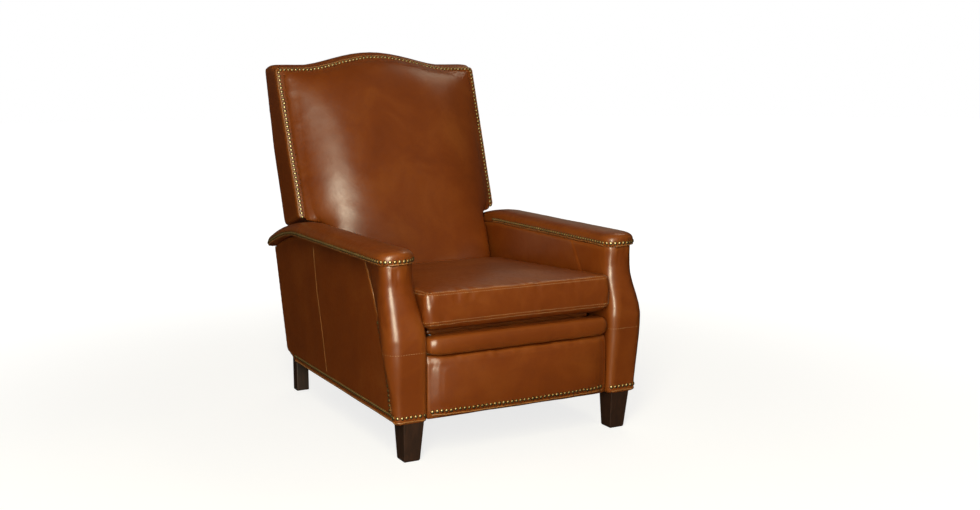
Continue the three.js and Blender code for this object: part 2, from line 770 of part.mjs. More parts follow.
// Sinuous springs: flat zigzag wires from the front rail to the rear rail.
function sinuousSpring(x) {
  const stepsPerWave = 6;
  const total = springWaves * stepsPerWave;
  const route = steps(total).map((t) => {
    const swing = Math.sin(t * springWaves * 2 * Math.PI);
    const back = lerp(frameFront + springWire, frameRear - springWire, t);
    return point(x + (springWidth / 2) * swing, back, springCentre);
  });
  const path = new THREE.CatmullRomCurve3(route);
  const section = new THREE.Shape().absarc(0, 0, springWire / 2, 0, Math.PI * 2);
  const wire = new THREE.ExtrudeGeometry(section, { extrudePath: path, steps: total, curveSegments: 3 });
  return closed(wire);
}
for (let i = 0; i < springCount; i++) {
  const x = lerp(-seatCrossHalfSpan, seatCrossHalfSpan, (i + 0.5) / springCount);
  add(`seat_spring_${i + 1}`, sinuousSpring(x), blackSteel, seat);
}

// Glides: a steel channel on each mechanism rail holds a runner bolted to the seat frame.
const glideBack = (y) => (y + cushionFrontY) / Math.cos(radians(seatPitch));
const glideFront = glideBack(-glideFrontY);
const glideRear = glideBack(glideRearY);
const channelOuterX = plateInnerX - seatedGap;
const channelInnerX = channelOuterX - glideWidth;

function glideChannel() {
  const low = -glideDrop - glideHeight / 2;
  const high = -glideDrop + glideHeight / 2;
  const web = block(channelOuterX - glideWall, channelOuterX, glideFront, glideRear, low, high);
  const floor = block(channelInnerX, channelOuterX, glideFront, glideRear, low, low + glideWall);
  const roof = block(channelInnerX, channelOuterX, glideFront, glideRear, high - glideWall, high);
  return join(web, floor, roof);
}
addPair("glide_channel", glideChannel(), zincSteel, seat);

const runnerHalfHeight = glideHeight / 2 - glideWall - runningGap;
const runnerMargin = 30; // the runner is longer than its channel at the rear
addPair(
  "seat_runner",
  block(
    seatFrameHalfWidth + seatedGap,
    channelOuterX - glideWall - runningGap,
    glideFront + runnerMargin,
    glideRear + runnerMargin,
    -glideDrop - runnerHalfHeight,
    -glideDrop + runnerHalfHeight,
  ),
  blackSteel,
  seat,
);

// Footrest

const boardFrontY = -footrestBoardRearY - footrestBoardThickness;
const boardHalfWidth = footrestHalfWidth - footrestBoardMargin;
add(
  "footrest_board",
  block(
    -boardHalfWidth,
    boardHalfWidth,
    boardFrontY,
    -footrestBoardRearY,
    baseUnderside + footrestBoardMargin,
    footrestRollTop - footrestBoardMargin,
  ),
  plywood,
);

// Main pad: flat behind, crowned in front, drawn in towards its corners.
function footrestPad() {
  const low = baseUnderside + seatedGap;
  const high = footrestPadTop;
  const rear = boardFrontY - seatedGap;
  const acrossSteps = 16;
  const upShares = [0, 0.04, 0.12, 0.25, 0.42, 0.6, 0.78, 0.9, 0.97, 1];
  const edgePower = 6;
  const rings = upShares.map((v) => {
    const z = lerp(low, high, v);
    const vertical = 1 - Math.pow(Math.abs(2 * v - 1), edgePower);
    const ring = [point(footrestHalfWidth, rear, z), point(-footrestHalfWidth, rear, z)];
    for (const t of steps(acrossSteps)) {
      const across = 2 * t - 1;
      const sideways = 1 - Math.pow(Math.abs(across), edgePower);
      const bulge = footrestPadCrown * Math.sqrt(vertical * sideways);
      const edge = footrestPadEdge * lerp(0.72, 1, vertical);
      ring.push(point(footrestHalfWidth * across, rear - edge - bulge, z));
    }
    return ring;
  });
  return loft(rings);
}
add("footrest_pad", footrestPad(), leather);

// Roll: a long bolster with rounded edges and ends.
function footrestRoll() {
  const low = footrestPadTop + seatedGap;
  const rear = boardFrontY - seatedGap;
  const front = boardFrontY - footrestRollDepth;
  const halfHeight = (footrestRollTop - low) / 2;
  const middleZ = low + halfHeight;
  const archSteps = 10;
  const endShares = [0, 0.012, 0.04, 0.1, 0.5, 0.9, 0.96, 0.988, 1];
  const fullnessShares = [0.55, 0.8, 0.94, 1, 1, 1, 0.94, 0.8, 0.55];
  return loft(
    endShares.map((t, i) => {
      const x = lerp(-footrestHalfWidth, footrestHalfWidth, t);
      const full = fullnessShares[i];
      const reach = lerp(rear, front, full);
      const low = middleZ - halfHeight * full;
      const high = middleZ + halfHeight * full;
      const ring = [point(x, rear, low), point(x, rear, high)];
      for (const s of steps(archSteps)) {
        const a = Math.PI / 2 - s * Math.PI;
        const y = reach + footrestRollCorner - footrestRollCorner * Math.cos(a) ** 0.8;
        ring.push(point(x, y, middleZ + halfHeight * full * Math.sin(a)));
      }
      return ring;
    }),
  );
}
add("footrest_roll", footrestRoll(), leather);

// Footrest links, drawn at rest. Each link lies in its own plane beside the mechanism plate.

const crankEnd = {
  y: crankPivot.y - crankLength * Math.cos(radians(crankRestAngle)),
  z: crankPivot.z + crankLength * Math.sin(radians(crankRestAngle)),
};
const idlerEnd = { y: crankEnd.y - idlerOffset, z: crankEnd.z };
const footrestHinge = { y: crankEnd.y - carrierRun, z: crankEnd.z + carrierRise };
const controlLow = { y: crankEnd.y - controlOffsetAhead, z: crankEnd.z + controlOffsetUp };
const controlHigh = { y: footrestHinge.y - controlOffsetAhead, z: footrestHinge.z + controlOffsetUp };

// A flat bar from one pivot to another with round ends.
function barShape(a, b) {
  const angle = Math.atan2(b.z - a.z, b.y - a.y);
  const shape = new THREE.Shape();
  shape.absarc(a.y, a.z, linkHalfWidth, angle + Math.PI / 2, angle + (3 * Math.PI) / 2);
  shape.absarc(b.y, b.z, linkHalfWidth, angle - Math.PI / 2, angle + Math.PI / 2);
  return shape;
}

// Bars joined into one plate in a link plane, with holes for other links' pins and its own rivets.
function linkPlate(plane, bars, holes, rivets) {
  const outer = planeX(plane);
  const inner = outer - steelThickness;
  const plates = bars.map(([a, b]) => sidePrism(barShape(a, b), inner, outer));
  const body = plates.length > 1 ? join(...plates) : plates[0];
  const boreRadius = rivetRadius + runningGap;
  const bores = holes.map((p) => crossBar(inner - overrun, outer + overrun, p.y, p.z, boreRadius));
  const drilled = bores.length ? cut(body, ...bores) : body;
  const middle = (inner + outer) / 2;
  const pins = rivets.flatMap(([p, target]) => rivet(p, middle, target));
  return pins.length ? join(drilled, ...pins) : drilled;
}

const idlerLink = linkPlate(idlerPlane, [[idlerPivot, idlerEnd]], [idlerPivot, idlerEnd], []);
addPair("idler_link", idlerLink, zincSteel);
addPair(
  "carrier_link",
  linkPlate(
    carrierPlane,
    [[crankEnd, idlerEnd], [idlerEnd, footrestHinge], [crankEnd, footrestHinge]],
    [],
    [
      [idlerEnd, planeX(idlerPlane)],
      [crankEnd, innerFace(crankPlane)],
      [footrestHinge, innerFace(crankPlane)],
    ],
  ),
  zincSteel,
);
addPair(
  "crank_link",
  linkPlate(
    crankPlane,
    [[crankPivot, crankEnd], [crankEnd, controlLow]],
    [crankPivot, crankEnd],
    [[controlLow, innerFace(controlPlane)]],
  ),
  zincSteel,
);
addPair(
  "control_link",
  linkPlate(controlPlane, [[controlLow, controlHigh]], [controlLow, controlHigh], []),
  zincSteel,
);

// Footrest bracket: a plate with two eyes and a flange that is screwed to the board.
function footrestBracket() {
  const flangeHeight = footrestHinge.z - baseUnderside;
  const boardFace = -footrestBoardRearY + seatedGap;
  const outer = planeX(crankPlane);
  const inner = outer - steelThickness;
  const flangeWidth = 30;
  const footShare = 0.55;
  const flangeFoot = footrestHinge.z - flangeHeight * footShare;
  const flangeTop = controlHigh.z + linkHalfWidth;
  const web = new THREE.Shape();
  web.moveTo(boardFace, flangeFoot);
  web.lineTo(boardFace, flangeTop);
  web.lineTo(controlHigh.y, flangeTop);
  web.absarc(controlHigh.y, controlHigh.z, linkHalfWidth, Math.PI / 2, 0, true);
  web.lineTo(footrestHinge.y + linkHalfWidth, footrestHinge.z);
  web.absarc(footrestHinge.y, footrestHinge.z, linkHalfWidth, 0, -Math.PI / 2, true);
  const webPlate = sidePrism(web, inner, outer);
  const bores = [footrestHinge].map((p) =>
    crossBar(inner - overrun, outer + overrun, p.y, p.z, rivetRadius + runningGap),
  );
  const flangeFace = boardFace + steelThickness;
  const flange = block(outer - flangeWidth, outer, boardFace, flangeFace, flangeFoot, flangeTop);
  const pins = rivet(controlHigh, (inner + outer) / 2, innerFace(controlPlane));
  return join(cut(webPlate, ...bores), flange, ...pins);
}
addPair("footrest_bracket", footrestBracket(), zincSteel);

// Back

// Place on the back: x across, up the rake from the datum, out of the front plane.
const onBack = (x, up, out) =>
  point(
    x,
    backDatumY + up * Math.sin(rake) - out * Math.cos(rake),
    backDatumHeight + up * Math.cos(rake) + out * Math.sin(rake),
  );

// Rear face in the side view, as a place along Y for a height.
function rearY(z) {
  const low = [backLowRearY, backDatumHeight];
  const high = [backTopRearY, backTopRearHeight];
  const [y, height] = z < backMiddleRearHeight ? low : high;
  const share = (z - backMiddleRearHeight) / (height - backMiddleRearHeight);
  return lerp(backMiddleRearY, y, share);
}

// The camel top's rise above the shoulders at a place across.
function crestRise(x) {
  const fullnessShare = 0.72;
  const share = Math.min(1, Math.abs(x) / backCrestHalfWidth);
  return backCrest * Math.pow((1 + Math.cos(Math.PI * share)) / 2, fullnessShare);
}

// Side view of the box at a place across: front edge, rounded top and rear edge, open below.
function boxTop(x, lowUp, lowRearHeight, inset) {
  const rise = crestRise(x) - inset;
  const round = backEdgeRound;
  const topUp = backShoulder + rise;
  const front = onBack(x, topUp, -inset);
  const rearTop = backTopRearHeight + rise;
  const rearPlace = (z, setback = 0) => point(x, rearY(z) - inset - setback, z);
  const backSteps = 4;
  const places = steps(backSteps).map((t) => onBack(x, lerp(lowUp, topUp - round, t), -inset));
  const cornerSteps = 3;
  for (const t of steps(cornerSteps).slice(1)) {
    const a = (t * Math.PI) / 2;
    places.push(onBack(x, topUp - round + round * Math.sin(a), -inset - round + round * Math.cos(a)));
  }
  const archSteps = 4;
  const arch = round / 2;
  const last = places.at(-1);
  const far = rearPlace(rearTop, round);
  for (const t of steps(archSteps).slice(1, -1)) {
    const p = last.clone().lerp(far, t);
    p.z = Math.max(p.z, lerp(front.z, far.z, t)) + arch * Math.sin(t * Math.PI);
    places.push(p);
  }
  for (const t of steps(cornerSteps)) {
    const a = (t * Math.PI) / 2;
    places.push(rearPlace(rearTop - round + round * Math.cos(a), round - round * Math.sin(a)));
  }
  if (lowRearHeight < backMiddleRearHeight) places.push(rearPlace(backMiddleRearHeight));
  places.push(rearPlace(lowRearHeight));
  return places;
}

// Draws a piece of the back out sideways, beyond the wings' inner face and more towards the top.
function flared(geometry) {
  const foot = backDatumHeight - backWingRearDrop;
  const height = backDatumHeight + backShoulder * Math.cos(rake) - foot;
  const places = geometry.getAttribute("position");
  for (let i = 0; i < places.count; i += 1) {
    const x = places.getX(i);
    const up = Math.max(0, (places.getZ(i) - foot) / height);
    const across = Math.max(0, (Math.abs(x) - backWingInnerX) / (backHalfWidth - backWingInnerX));
    places.setX(i, x + Math.sign(x) * backFlare * up * across);
  }
  geometry.computeVertexNormals();
  return geometry;
}

// Wings: the upholstered side boxes above the arms.
function backWing() {
  const lowRear = backDatumHeight - backWingRearDrop;
  const ringAt = (x, inset) => {
    const ring = boxTop(x, backWingLip + inset, lowRear + backEdgeRound + inset, inset);
    const rearFoot = ring.at(-1);
    ring.push(point(x, rearFoot.y - backEdgeRound * 0.5, lowRear + inset + backEdgeRound * 0.3));
    ring.push(point(x, rearFoot.y - backEdgeRound * 1.6, lowRear + inset));
    return ring;
  };
  const insetShares = [0, 0, 0.1, 0.32, 0.75];
  const placeShares = [0, 0.72, 0.9, 0.97, 1];
  const across = (t) => lerp(backWingInnerX, backHalfWidth, t);
  return loft(placeShares.map((t, i) => ringAt(across(t), backEdgeRound * insetShares[i])));
}
addPair("back_wing", flared(backWing()), leather);

// Crest: the padded top between the wings, over the crest rail.
const crestDepth = 56;
const crestHalfWidth = backWingInnerX - seatedGap;
function backCrestPad() {
  const acrossSteps = 16;
  return loft(
    steps(acrossSteps).map((t) => {
      const x = lerp(-crestHalfWidth, crestHalfWidth, t);
      const lowUp = backShoulder - crestDepth + crestRise(x);
      return boxTop(x, lowUp, backTopRearHeight - crestDepth + crestRise(x), 0);
    }),
  );
}
add("back_crest", backCrestPad(), leather);

// Plywood side frames of the back, from the pivot up to the crest.
const frameOuterX = backWingInnerX - seatedGap;
const frameInnerX = frameOuterX - backFrameThickness;
function backSideFrame() {
  const topUp = backShoulder - backFrameHeadroom;
  const frontTop = onBack(0, topUp, -backFrameInset);
  const footUp = (backFrameFoot - backDatumHeight) / Math.cos(rake);
  const frontFoot = onBack(0, footUp, -backFrameInset);
  const shape = [[frontFoot.y, backFrameFoot], [frontTop.y, frontTop.z]];
  for (const z of [frontTop.z, backMiddleRearHeight, backCoverFoot]) {
    shape.push([rearY(z) - backFrameInset, z]);
  }
  const rearFootY = rearY(backCoverFoot) - backFrameInset - (backCoverFoot - backFrameFoot);
  shape.push([rearFootY, backFrameFoot]);
  return sidePrism(outline(shape), frameInnerX, frameOuterX);
}
addPair("back_side_frame", backSideFrame(), plywood);

// Rails and webbing between the side frames, drawn square to the rake in a turned group.
const raked = new THREE.Group();
raked.position.set(0, backDatumY, backDatumHeight);
raked.rotation.x = -rake;
chair.add(raked);
const betweenFrames = frameInnerX - seatedGap;
const frameFace = backFrameInset + seatedGap;
const railBlock = (up, height, depth) =>
  block(-betweenFrames, betweenFrames, frameFace, frameFace + depth, up, up + height);

// The crest rail's top edge follows the camel line under the padding.
function crestRail() {
  const low = backShoulder - crestDepth - backRailHeight - seatedGap;
  const high = backShoulder - crestDepth - seatedGap;
  const acrossSteps = 16;
  const shape = [[-betweenFrames, low], [betweenFrames, low]];
  for (const t of steps(acrossSteps)) {
    const x = lerp(betweenFrames, -betweenFrames, t);
    shape.push([x, high + crestRise(x)]);
  }
  return frontPrism(outline(shape), frameFace, frameFace + backRailThickness);
}
add("back_crest_rail", crestRail(), plywood, raked);
const lowRailUp = -backPadFoot + backRailHeight / 2;
add("back_lower_rail", railBlock(lowRailUp, backRailHeight, backRailThickness), plainWood, raked);
const webSpan = backShoulder - crestDepth - backRailHeight - lowRailUp - backRailHeight;
const webShares = [0.36, 0.66];
for (const [i, share] of webShares.entries()) {
  const up = lowRailUp + backRailHeight + webSpan * share - backWebWidth / 2;
  add(`back_webbing_${i + 1}`, railBlock(up, backWebWidth, backWebThickness), webbing, raked);
}

// Front pad: one crowned body, wide above the arms and narrower between them.
function backPad() {
  const padFace = seatedGap;
  const topInset = backPadBorder;
  const wide = backHalfWidth - backPadBorder;
  const downShares = [1, 0.93, 0.75, 0.5, 0.25];
  const shoulderUp = backWingLip + backPadBorder;
  const lowTop = shoulderUp - backPadBorder;
  const wideShares = [0, 0.03, 0.08, 0.16, 0.28, 0.42, 0.56, 0.7, 0.8, 0.88, 0.93, 0.965, 0.985, 1];
  const levels = [
    ...downShares.map((t) => ({ up: -backPadFoot * t, half: backPadLowHalfWidth, share: 0 })),
    { up: lowTop, half: backPadLowHalfWidth, share: 0 },
    ...wideShares.map((share) => ({ up: shoulderUp, half: wide, share })),
  ];
  const acrossSteps = 20;
  const thicknessAt = (up) => lerp(backPadThickness, backPadTopThickness, smoothstep(up, 0, backShoulder));
  // The wide part's lower face lies level over the arms.
  const sagStart = -backPadFoot * 0.6;
  const sagEnd = backShoulder * 0.4;
  const sagAt = (at) =>
    Math.tan(rake) * smoothstep(at, sagStart, 0) * (1 - smoothstep(at, shoulderUp, sagEnd));
  const rings = levels.map(({ up, half, share }) => {
    const rise = (x) => (share ? share * (backShoulder - topInset + crestRise(x) - up) : 0);
    const front = [];
    const rear = [];
    for (const t of steps(acrossSteps)) {
      const across = Math.sin((t - 0.5) * Math.PI);
      const x = half * across;
      const at = up + rise(x);
      const footRound = smoothstep(at, -backPadFoot * 1.08, -backPadFoot * 0.72);
      const topRound = Math.pow(1 - Math.pow(share, 14), 0.7);
      const edgeUp = Math.pow(1 - Math.pow(Math.abs(x / wide), 6), 0.8);
      const edgeLow = lerp(0.78, 1, 1 - Math.pow(Math.abs(x / backPadLowHalfWidth), 3));
      const upper = smoothstep(at, -backPadFoot * 0.25, backPadFoot * 0.2);
      const edge = half < wide ? Math.min(edgeLow, lerp(edgeLow, edgeUp, upper)) : edgeUp;
      const out = Math.max(thicknessAt(at) * edge * lerp(0.6, 1, footRound) * topRound, backWingLip);
      front.push(onBack(x, at - sagAt(at) * out, padFace + out));
      rear.push(onBack(x, at, padFace));
    }
    return [...front, ...rear.reverse()];
  });
  return loft(rings, stripOf);
}
add("back_pad", flared(backPad()), leather);

// Outside back: a thin crowned cover, as wide as the wings above the arms.
function backCover() {
  const wide = backHalfWidth - backCoverMargin;
  const wingFoot = backDatumHeight - backWingRearDrop + 2 * backEdgeRound;
  const top = backTopRearHeight - backEdgeRound;
  const edge = backCoverThickness / 2;
  const middleShare = (backMiddleRearHeight - wingFoot) / (top - wingFoot);
  const lowShares = [0, 0.02, 0.08, 0.5, 1];
  const highShares = [0, 0.04, 0.2, middleShare, 0.7, 0.9, 0.97, 1];
  const lowTop = wingFoot - backCoverMargin;
  const lowRing = (z) => ({ z, half: backCoverLowHalfWidth, share: 0 });
  const low = lowShares.map((t) => lowRing(lerp(backCoverFoot, lowTop, t)));
  const high = highShares.map((share) => ({ z: wingFoot, half: wide, share }));
  const acrossSteps = 12;
  const fade = 50; // the crown grows over this length from the top and bottom edges
  const rings = [...low, ...high].map(({ z, half, share }) => {
    const front = [];
    const rear = [];
    for (const t of steps(acrossSteps)) {
      const across = Math.sin((t - 0.5) * Math.PI);
      const crest = top + crestRise(half * across);
      const at = lerp(z, share ? crest : z, share);
      const ends = Math.min(1, (at - backCoverFoot) / fade, (crest - at) / fade);
      const crown = (edge + backCoverCrown) * Math.sqrt(Math.max(0, ends) * (1 - Math.pow(across, 4)));
      const base = rearY(at) + seatedGap;
      front.push(point(half * across, base, at));
      rear.push(point(half * across, base + edge + crown, at));
    }
    return [...front, ...rear.reverse()];
  });
  return loft(rings, stripOf);
}
add("back_cover", flared(backCover()), shadedLeather);

// Hinge plates: screwed to the back's side frames, turning on the mechanism rails' pins.
function backHingePlate() {
  const outer = planeX(idlerPlane);
  const inner = frameOuterX + seatedGap;
  const eye = linkHalfWidth * 1.6;
  const armLength = 90;
  const armWidth = 34;
  const shape = new THREE.Shape();
  shape.absarc(reclinePivotY, reclinePivotHeight, eye, Math.PI, Math.PI * 2);
  shape.lineTo(reclinePivotY + armWidth / 2 + armLength * Math.sin(rake), reclinePivotHeight + armLength);
  shape.lineTo(reclinePivotY - armWidth / 2 + armLength * Math.sin(rake), reclinePivotHeight + armLength);
  const bore = crossBar(
    inner - overrun,
    outer + overrun,
    reclinePivotY,
    reclinePivotHeight,
    reclinePinRadius + runningGap,
  );
  return cut(sidePrism(shape, inner, outer), bore);
}
addPair("back_hinge_plate", backHingePlate(), zincSteel);

// Centre the chair over the middle of its footprint.
const footprint = new THREE.Box3().setFromObject(chair);
chair.position.y = -(footprint.min.y + footprint.max.y) / 2;

const recliner = new THREE.Group();
recliner.add(chair);

export default recliner;
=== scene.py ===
import json
import math

import bmesh
import bpy
import numpy as np
from mathutils import Matrix, Vector, noise
from mathutils.bvhtree import BVHTree
from mathutils.kdtree import KDTree


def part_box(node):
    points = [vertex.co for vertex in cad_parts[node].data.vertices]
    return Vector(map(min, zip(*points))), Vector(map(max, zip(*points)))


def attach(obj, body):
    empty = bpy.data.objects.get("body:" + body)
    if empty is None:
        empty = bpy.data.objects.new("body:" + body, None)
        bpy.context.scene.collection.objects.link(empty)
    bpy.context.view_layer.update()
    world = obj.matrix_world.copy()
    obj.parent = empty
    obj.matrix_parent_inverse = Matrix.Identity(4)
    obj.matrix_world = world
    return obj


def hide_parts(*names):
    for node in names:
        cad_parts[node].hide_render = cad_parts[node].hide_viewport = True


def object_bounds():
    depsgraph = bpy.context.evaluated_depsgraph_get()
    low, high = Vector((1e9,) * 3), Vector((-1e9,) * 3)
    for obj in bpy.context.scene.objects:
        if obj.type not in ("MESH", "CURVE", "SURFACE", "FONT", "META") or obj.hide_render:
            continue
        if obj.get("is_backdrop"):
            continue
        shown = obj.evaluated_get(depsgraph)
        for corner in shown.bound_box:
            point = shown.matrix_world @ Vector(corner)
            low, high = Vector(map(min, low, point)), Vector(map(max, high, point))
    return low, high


bl_info = {
    "name": "Leather Recliner Dressing",
    "version": (1, 0, 0),
    "blender": (4, 5, 0),
    "location": "3D View > Sidebar > Recliner",
    "description": "Upholsters, trims and stages a push-back recliner around its packed frame",
    "category": "Object",
}

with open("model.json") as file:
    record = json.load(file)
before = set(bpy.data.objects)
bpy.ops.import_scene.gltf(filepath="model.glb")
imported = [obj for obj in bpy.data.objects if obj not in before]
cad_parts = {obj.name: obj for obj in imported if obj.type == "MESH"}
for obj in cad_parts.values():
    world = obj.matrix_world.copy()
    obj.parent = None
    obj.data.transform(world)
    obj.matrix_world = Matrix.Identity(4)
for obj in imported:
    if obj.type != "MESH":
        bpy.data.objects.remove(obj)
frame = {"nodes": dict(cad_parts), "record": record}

MM = 0.001
SIDES = {"left": -1, "right": 1}
# Places are measured in millimetres along Y from the seat's datum, which the legs carry.
LEG_TOP_FRONT = 503
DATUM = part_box("left_front_leg")[0].y + LEG_TOP_FRONT * MM


def place(x, y, z):
    """A measured place, in millimetres from the datum, as a point in the frame."""
    return Vector((x * MM, y * MM + DATUM, z * MM))


def linear(code):
    """An sRGB hex colour as linear red, green and blue."""
    parts = [int(code[i : i + 2], 16) / 255 for i in (1, 3, 5)]
    return tuple(c / 12.92 if c <= 0.04045 else ((c + 0.055) / 1.055) ** 2.4 for c in parts)


def painted(code):
    return (*linear(code), 1.0)


def mixed(one, other, share):
    """A colour part of the way from one linear colour to another."""
    return tuple(a + (b - a) * share for a, b in zip(one, other))


# Settings


def colour_prop(name, description, code):
    return bpy.props.FloatVectorProperty(
        name=name, description=description, subtype="COLOR", default=linear(code)
    )


def length_prop(name, description, default):
    return bpy.props.FloatProperty(name=name, description=description, default=default, unit="LENGTH")


def angle_prop(name, description, degrees):
    return bpy.props.FloatProperty(
        name=name, description=description, default=math.radians(degrees), subtype="ANGLE"
    )


def power_prop(name, description, default):
    return bpy.props.FloatProperty(name=name, description=description, default=default, unit="POWER")


class ReclinerLeather(bpy.types.PropertyGroup):
    """The hide and how it was pulled over the frame."""

    body: colour_prop("Hide", "Colour of most of the hide", "#7F3B0C")
    dark: colour_prop("Shaded hide", "Colour of the darker clouds", "#6B2E07")
    pale: colour_prop("Pulled hide", "Colour where the wax is pulled thin", "#96511B")
    # The fold colour is painted shade, laid over the hide in seams and folds
    fold: colour_prop("Folds", "Colour in seams and folds", "#371504")
    grain: length_prop("Grain", "Size of one pebble of the grain", 1.6 * MM)
    rumple: length_prop("Rumple", "Depth of the broad unevenness", 0.9 * MM)
    gather: length_prop("Gather", "Depth of the small folds that run off a seam", 1.1 * MM)


class ReclinerTrim(bpy.types.PropertyGroup):
    """Nails, welts and thread."""

    pitch: length_prop("Nail pitch", "From one nail to the next", 13 * MM)
    head: length_prop("Nail head", "Head diameter", 11.6 * MM)
    dome: length_prop("Nail dome", "Height of the head", 3.8 * MM)
    welt: length_prop("Welt", "Radius of the piping", 2 * MM)
    stitch: length_prop("Stitch", "From one stitch to the next", 7 * MM)
    thread: length_prop("Thread", "Thread radius", 0.9 * MM)
    brass: colour_prop("Nails", "Colour of the nails", "#84765A")
    yarn: colour_prop("Thread colour", "Colour of the stitching", "#C08A55")


class ReclinerStage(bpy.types.PropertyGroup):
    """The camera's place, found from the photo's perspective, and the studio."""

    focal: bpy.props.FloatProperty(
        name="Focal length", description="In pixels of a 980 pixel wide picture", default=1206.5, subtype="PIXEL"
    )
    yaw: angle_prop("Yaw", "Turn from the chair's axis", 27.89)
    pitch: angle_prop("Pitch", "Fall of the view", 8.62)
    roll: angle_prop("Roll", "Tilt of the view", -0.34)
    key: power_prop("Key", "Power of the tall main light", 88)
    fill: power_prop("Fill", "Power of the rear light", 18)


def settings():
    scene = bpy.context.scene
    return scene.recliner_leather, scene.recliner_trim, scene.recliner_stage


# Materials


def add_node(tree, kind, values=None, inputs=None):
    """Adds one node, sets its properties, and gives its inputs a value or another node's output."""
    node = tree.nodes.new(kind)
    for name, value in (values or {}).items():
        setattr(node, name, value)
    for key, value in (inputs or {}).items():
        if isinstance(value, bpy.types.NodeSocket):
            tree.links.new(value, node.inputs[key])
        else:
            node.inputs[key].default_value = value
    return node


def new_material(name):
    """A material with its empty node tree and its piece's own coordinates."""
    material = bpy.data.materials.new(name)
    material.use_nodes = True
    tree = material.node_tree
    tree.nodes.clear()
    return material, tree, add_node(tree, "ShaderNodeTexCoord").outputs["Object"]


def finish_material(tree, **inputs):
    """Closes a material with one Principled shader that takes these inputs."""
    named = {key.replace("_", " "): value for key, value in inputs.items()}
    shader = add_node(tree, "ShaderNodeBsdfPrincipled", inputs=named)
    add_node(tree, "ShaderNodeOutputMaterial", inputs={"Surface": shader.outputs["BSDF"]})


def maths(tree, operation, *values):
    return add_node(tree, "ShaderNodeMath", {"operation": operation}, dict(enumerate(values))).outputs["Value"]


def mottle(tree, vector, size, detail, **more):
    """Noise whose patches are about this many metres across."""
    inputs = {"Vector": vector, "Scale": 1 / size, "Detail": detail, **more}
    return add_node(tree, "ShaderNodeTexNoise", inputs=inputs).outputs["Fac"]


def stretched(tree, coords, scale):
    return add_node(tree, "ShaderNodeMapping", inputs={"Vector": coords, "Scale": scale}).outputs["Vector"]


def mapped(tree, value, start, end, low, high, step="LINEAR"):
    """A value carried from one range into another."""
    inputs = {"Value": value, "From Min": start, "From Max": end, "To Min": low, "To Max": high}
    return add_node(tree, "ShaderNodeMapRange", {"interpolation_type": step}, inputs).outputs["Result"]


def ramped(tree, value, colours):
    """A value as a colour, by stops of (value, colour)."""
    ramp = add_node(tree, "ShaderNodeValToRGB", inputs={"Fac": value})
    elements = ramp.color_ramp.elements
    while len(elements) > 1:
        elements.remove(elements[-1])
    elements[0].position, elements[0].color = colours[0]
    for position, colour in colours[1:]:
        elements.new(position).color = colour
    return ramp.outputs["Color"]


def laid_over(tree, share, under, colour):
    """A colour laid over another by a share."""
    return add_node(tree, "ShaderNodeMix", {"data_type": "RGBA"}, {0: share, 6: under, 7: colour}).outputs[2]


def bumped(tree, height, strength, depth, **more):
    inputs = {"Height": height, "Strength": strength, "Distance": depth, **more}
    return add_node(tree, "ShaderNodeBump", inputs=inputs).outputs["Normal"]


def attribute(tree, name):
    return add_node(tree, "ShaderNodeAttribute", {"attribute_name": name}).outputs["Fac"]


def waxed_leather(name, body, dark, pale, fold, grain):
    """Full-grain cowhide, drum-dyed and waxed: an even warm brown with faint clouds, painted shade in
    its folds and seams, edges worn paler, and smooth enough to hold a soft streak of light."""
    material, tree, coords = new_material(name)
    clouds = mottle(tree, coords, 0.13, 6.0, Roughness=0.6, Distortion=0.5)
    shaded, lit = ((*mixed(body, other, 0.45), 1) for other in (dark, pale))
    hide = ramped(tree, clouds, [(0.3, shaded), (0.5, (*body, 1)), (0.74, lit)])
    # Small darker flecks, where the hide took more dye
    flecks = mottle(tree, coords, 0.012, 5.0, Roughness=0.7)
    hide = laid_over(tree, mapped(tree, flecks, 0.52, 0.75, 0.0, 0.3), hide, (*dark, 1))
    # How far each point stands out: where it lies low in folds and seams the fold colour paints shade over the hide,
    # and edges that stand out are worn paler
    wear_and_shade = attribute(tree, "wear_and_shade")
    hide = laid_over(tree, mapped(tree, wear_and_shade, 0.44, 0.1, 0.0, 0.85, "SMOOTHSTEP"), hide, (*fold, 1))
    hide = laid_over(tree, mapped(tree, wear_and_shade, 0.6, 1.0, 0.0, 0.5, "SMOOTHSTEP"), hide, (*pale, 1))
    pebbles = add_node(
        tree, "ShaderNodeTexVoronoi", {"feature": "SMOOTH_F1"}, {"Vector": coords, "Scale": 1 / grain}
    )
    grained = bumped(tree, pebbles.outputs["Distance"], 0.3, 0.15 * MM)
    creases = mottle(tree, coords, 0.008, 6.0, Roughness=0.65, Distortion=1.2)
    finish_material(
        tree,
        Base_Color=hide,
        Roughness=mapped(tree, flecks, 0.3, 0.7, 0.3, 0.4),
        Normal=bumped(tree, creases, 0.22, 0.6 * MM, Normal=grained),
        IOR=1.46,
        Specular_IOR_Level=0.34,
    )
    return material


def grained_wood(name, early, late, line, roughness, ring=0.012):
    """Wood with its grain running up the piece: pale early wood, darker late wood and fine pores."""
    material, tree, coords = new_material(name)
    along = stretched(tree, coords, (1.0, 1.0, 0.08))
    rings = mottle(tree, along, ring, 5.0, Distortion=0.8)
    wood = ramped(tree, rings, [(0.35, painted(early)), (0.55, painted(late)), (0.66, painted(early))])
    pores = mottle(tree, along, 0.0009, 2.0)
    finish_material(
        tree,
        Base_Color=laid_over(tree, mapped(tree, pores, 0.6, 0.7, 0.0, 0.5), wood, painted(line)),
        Roughness=roughness,
        Normal=bumped(tree, pores, 0.15, 0.15 * MM),
        IOR=1.5,
    )
    return material


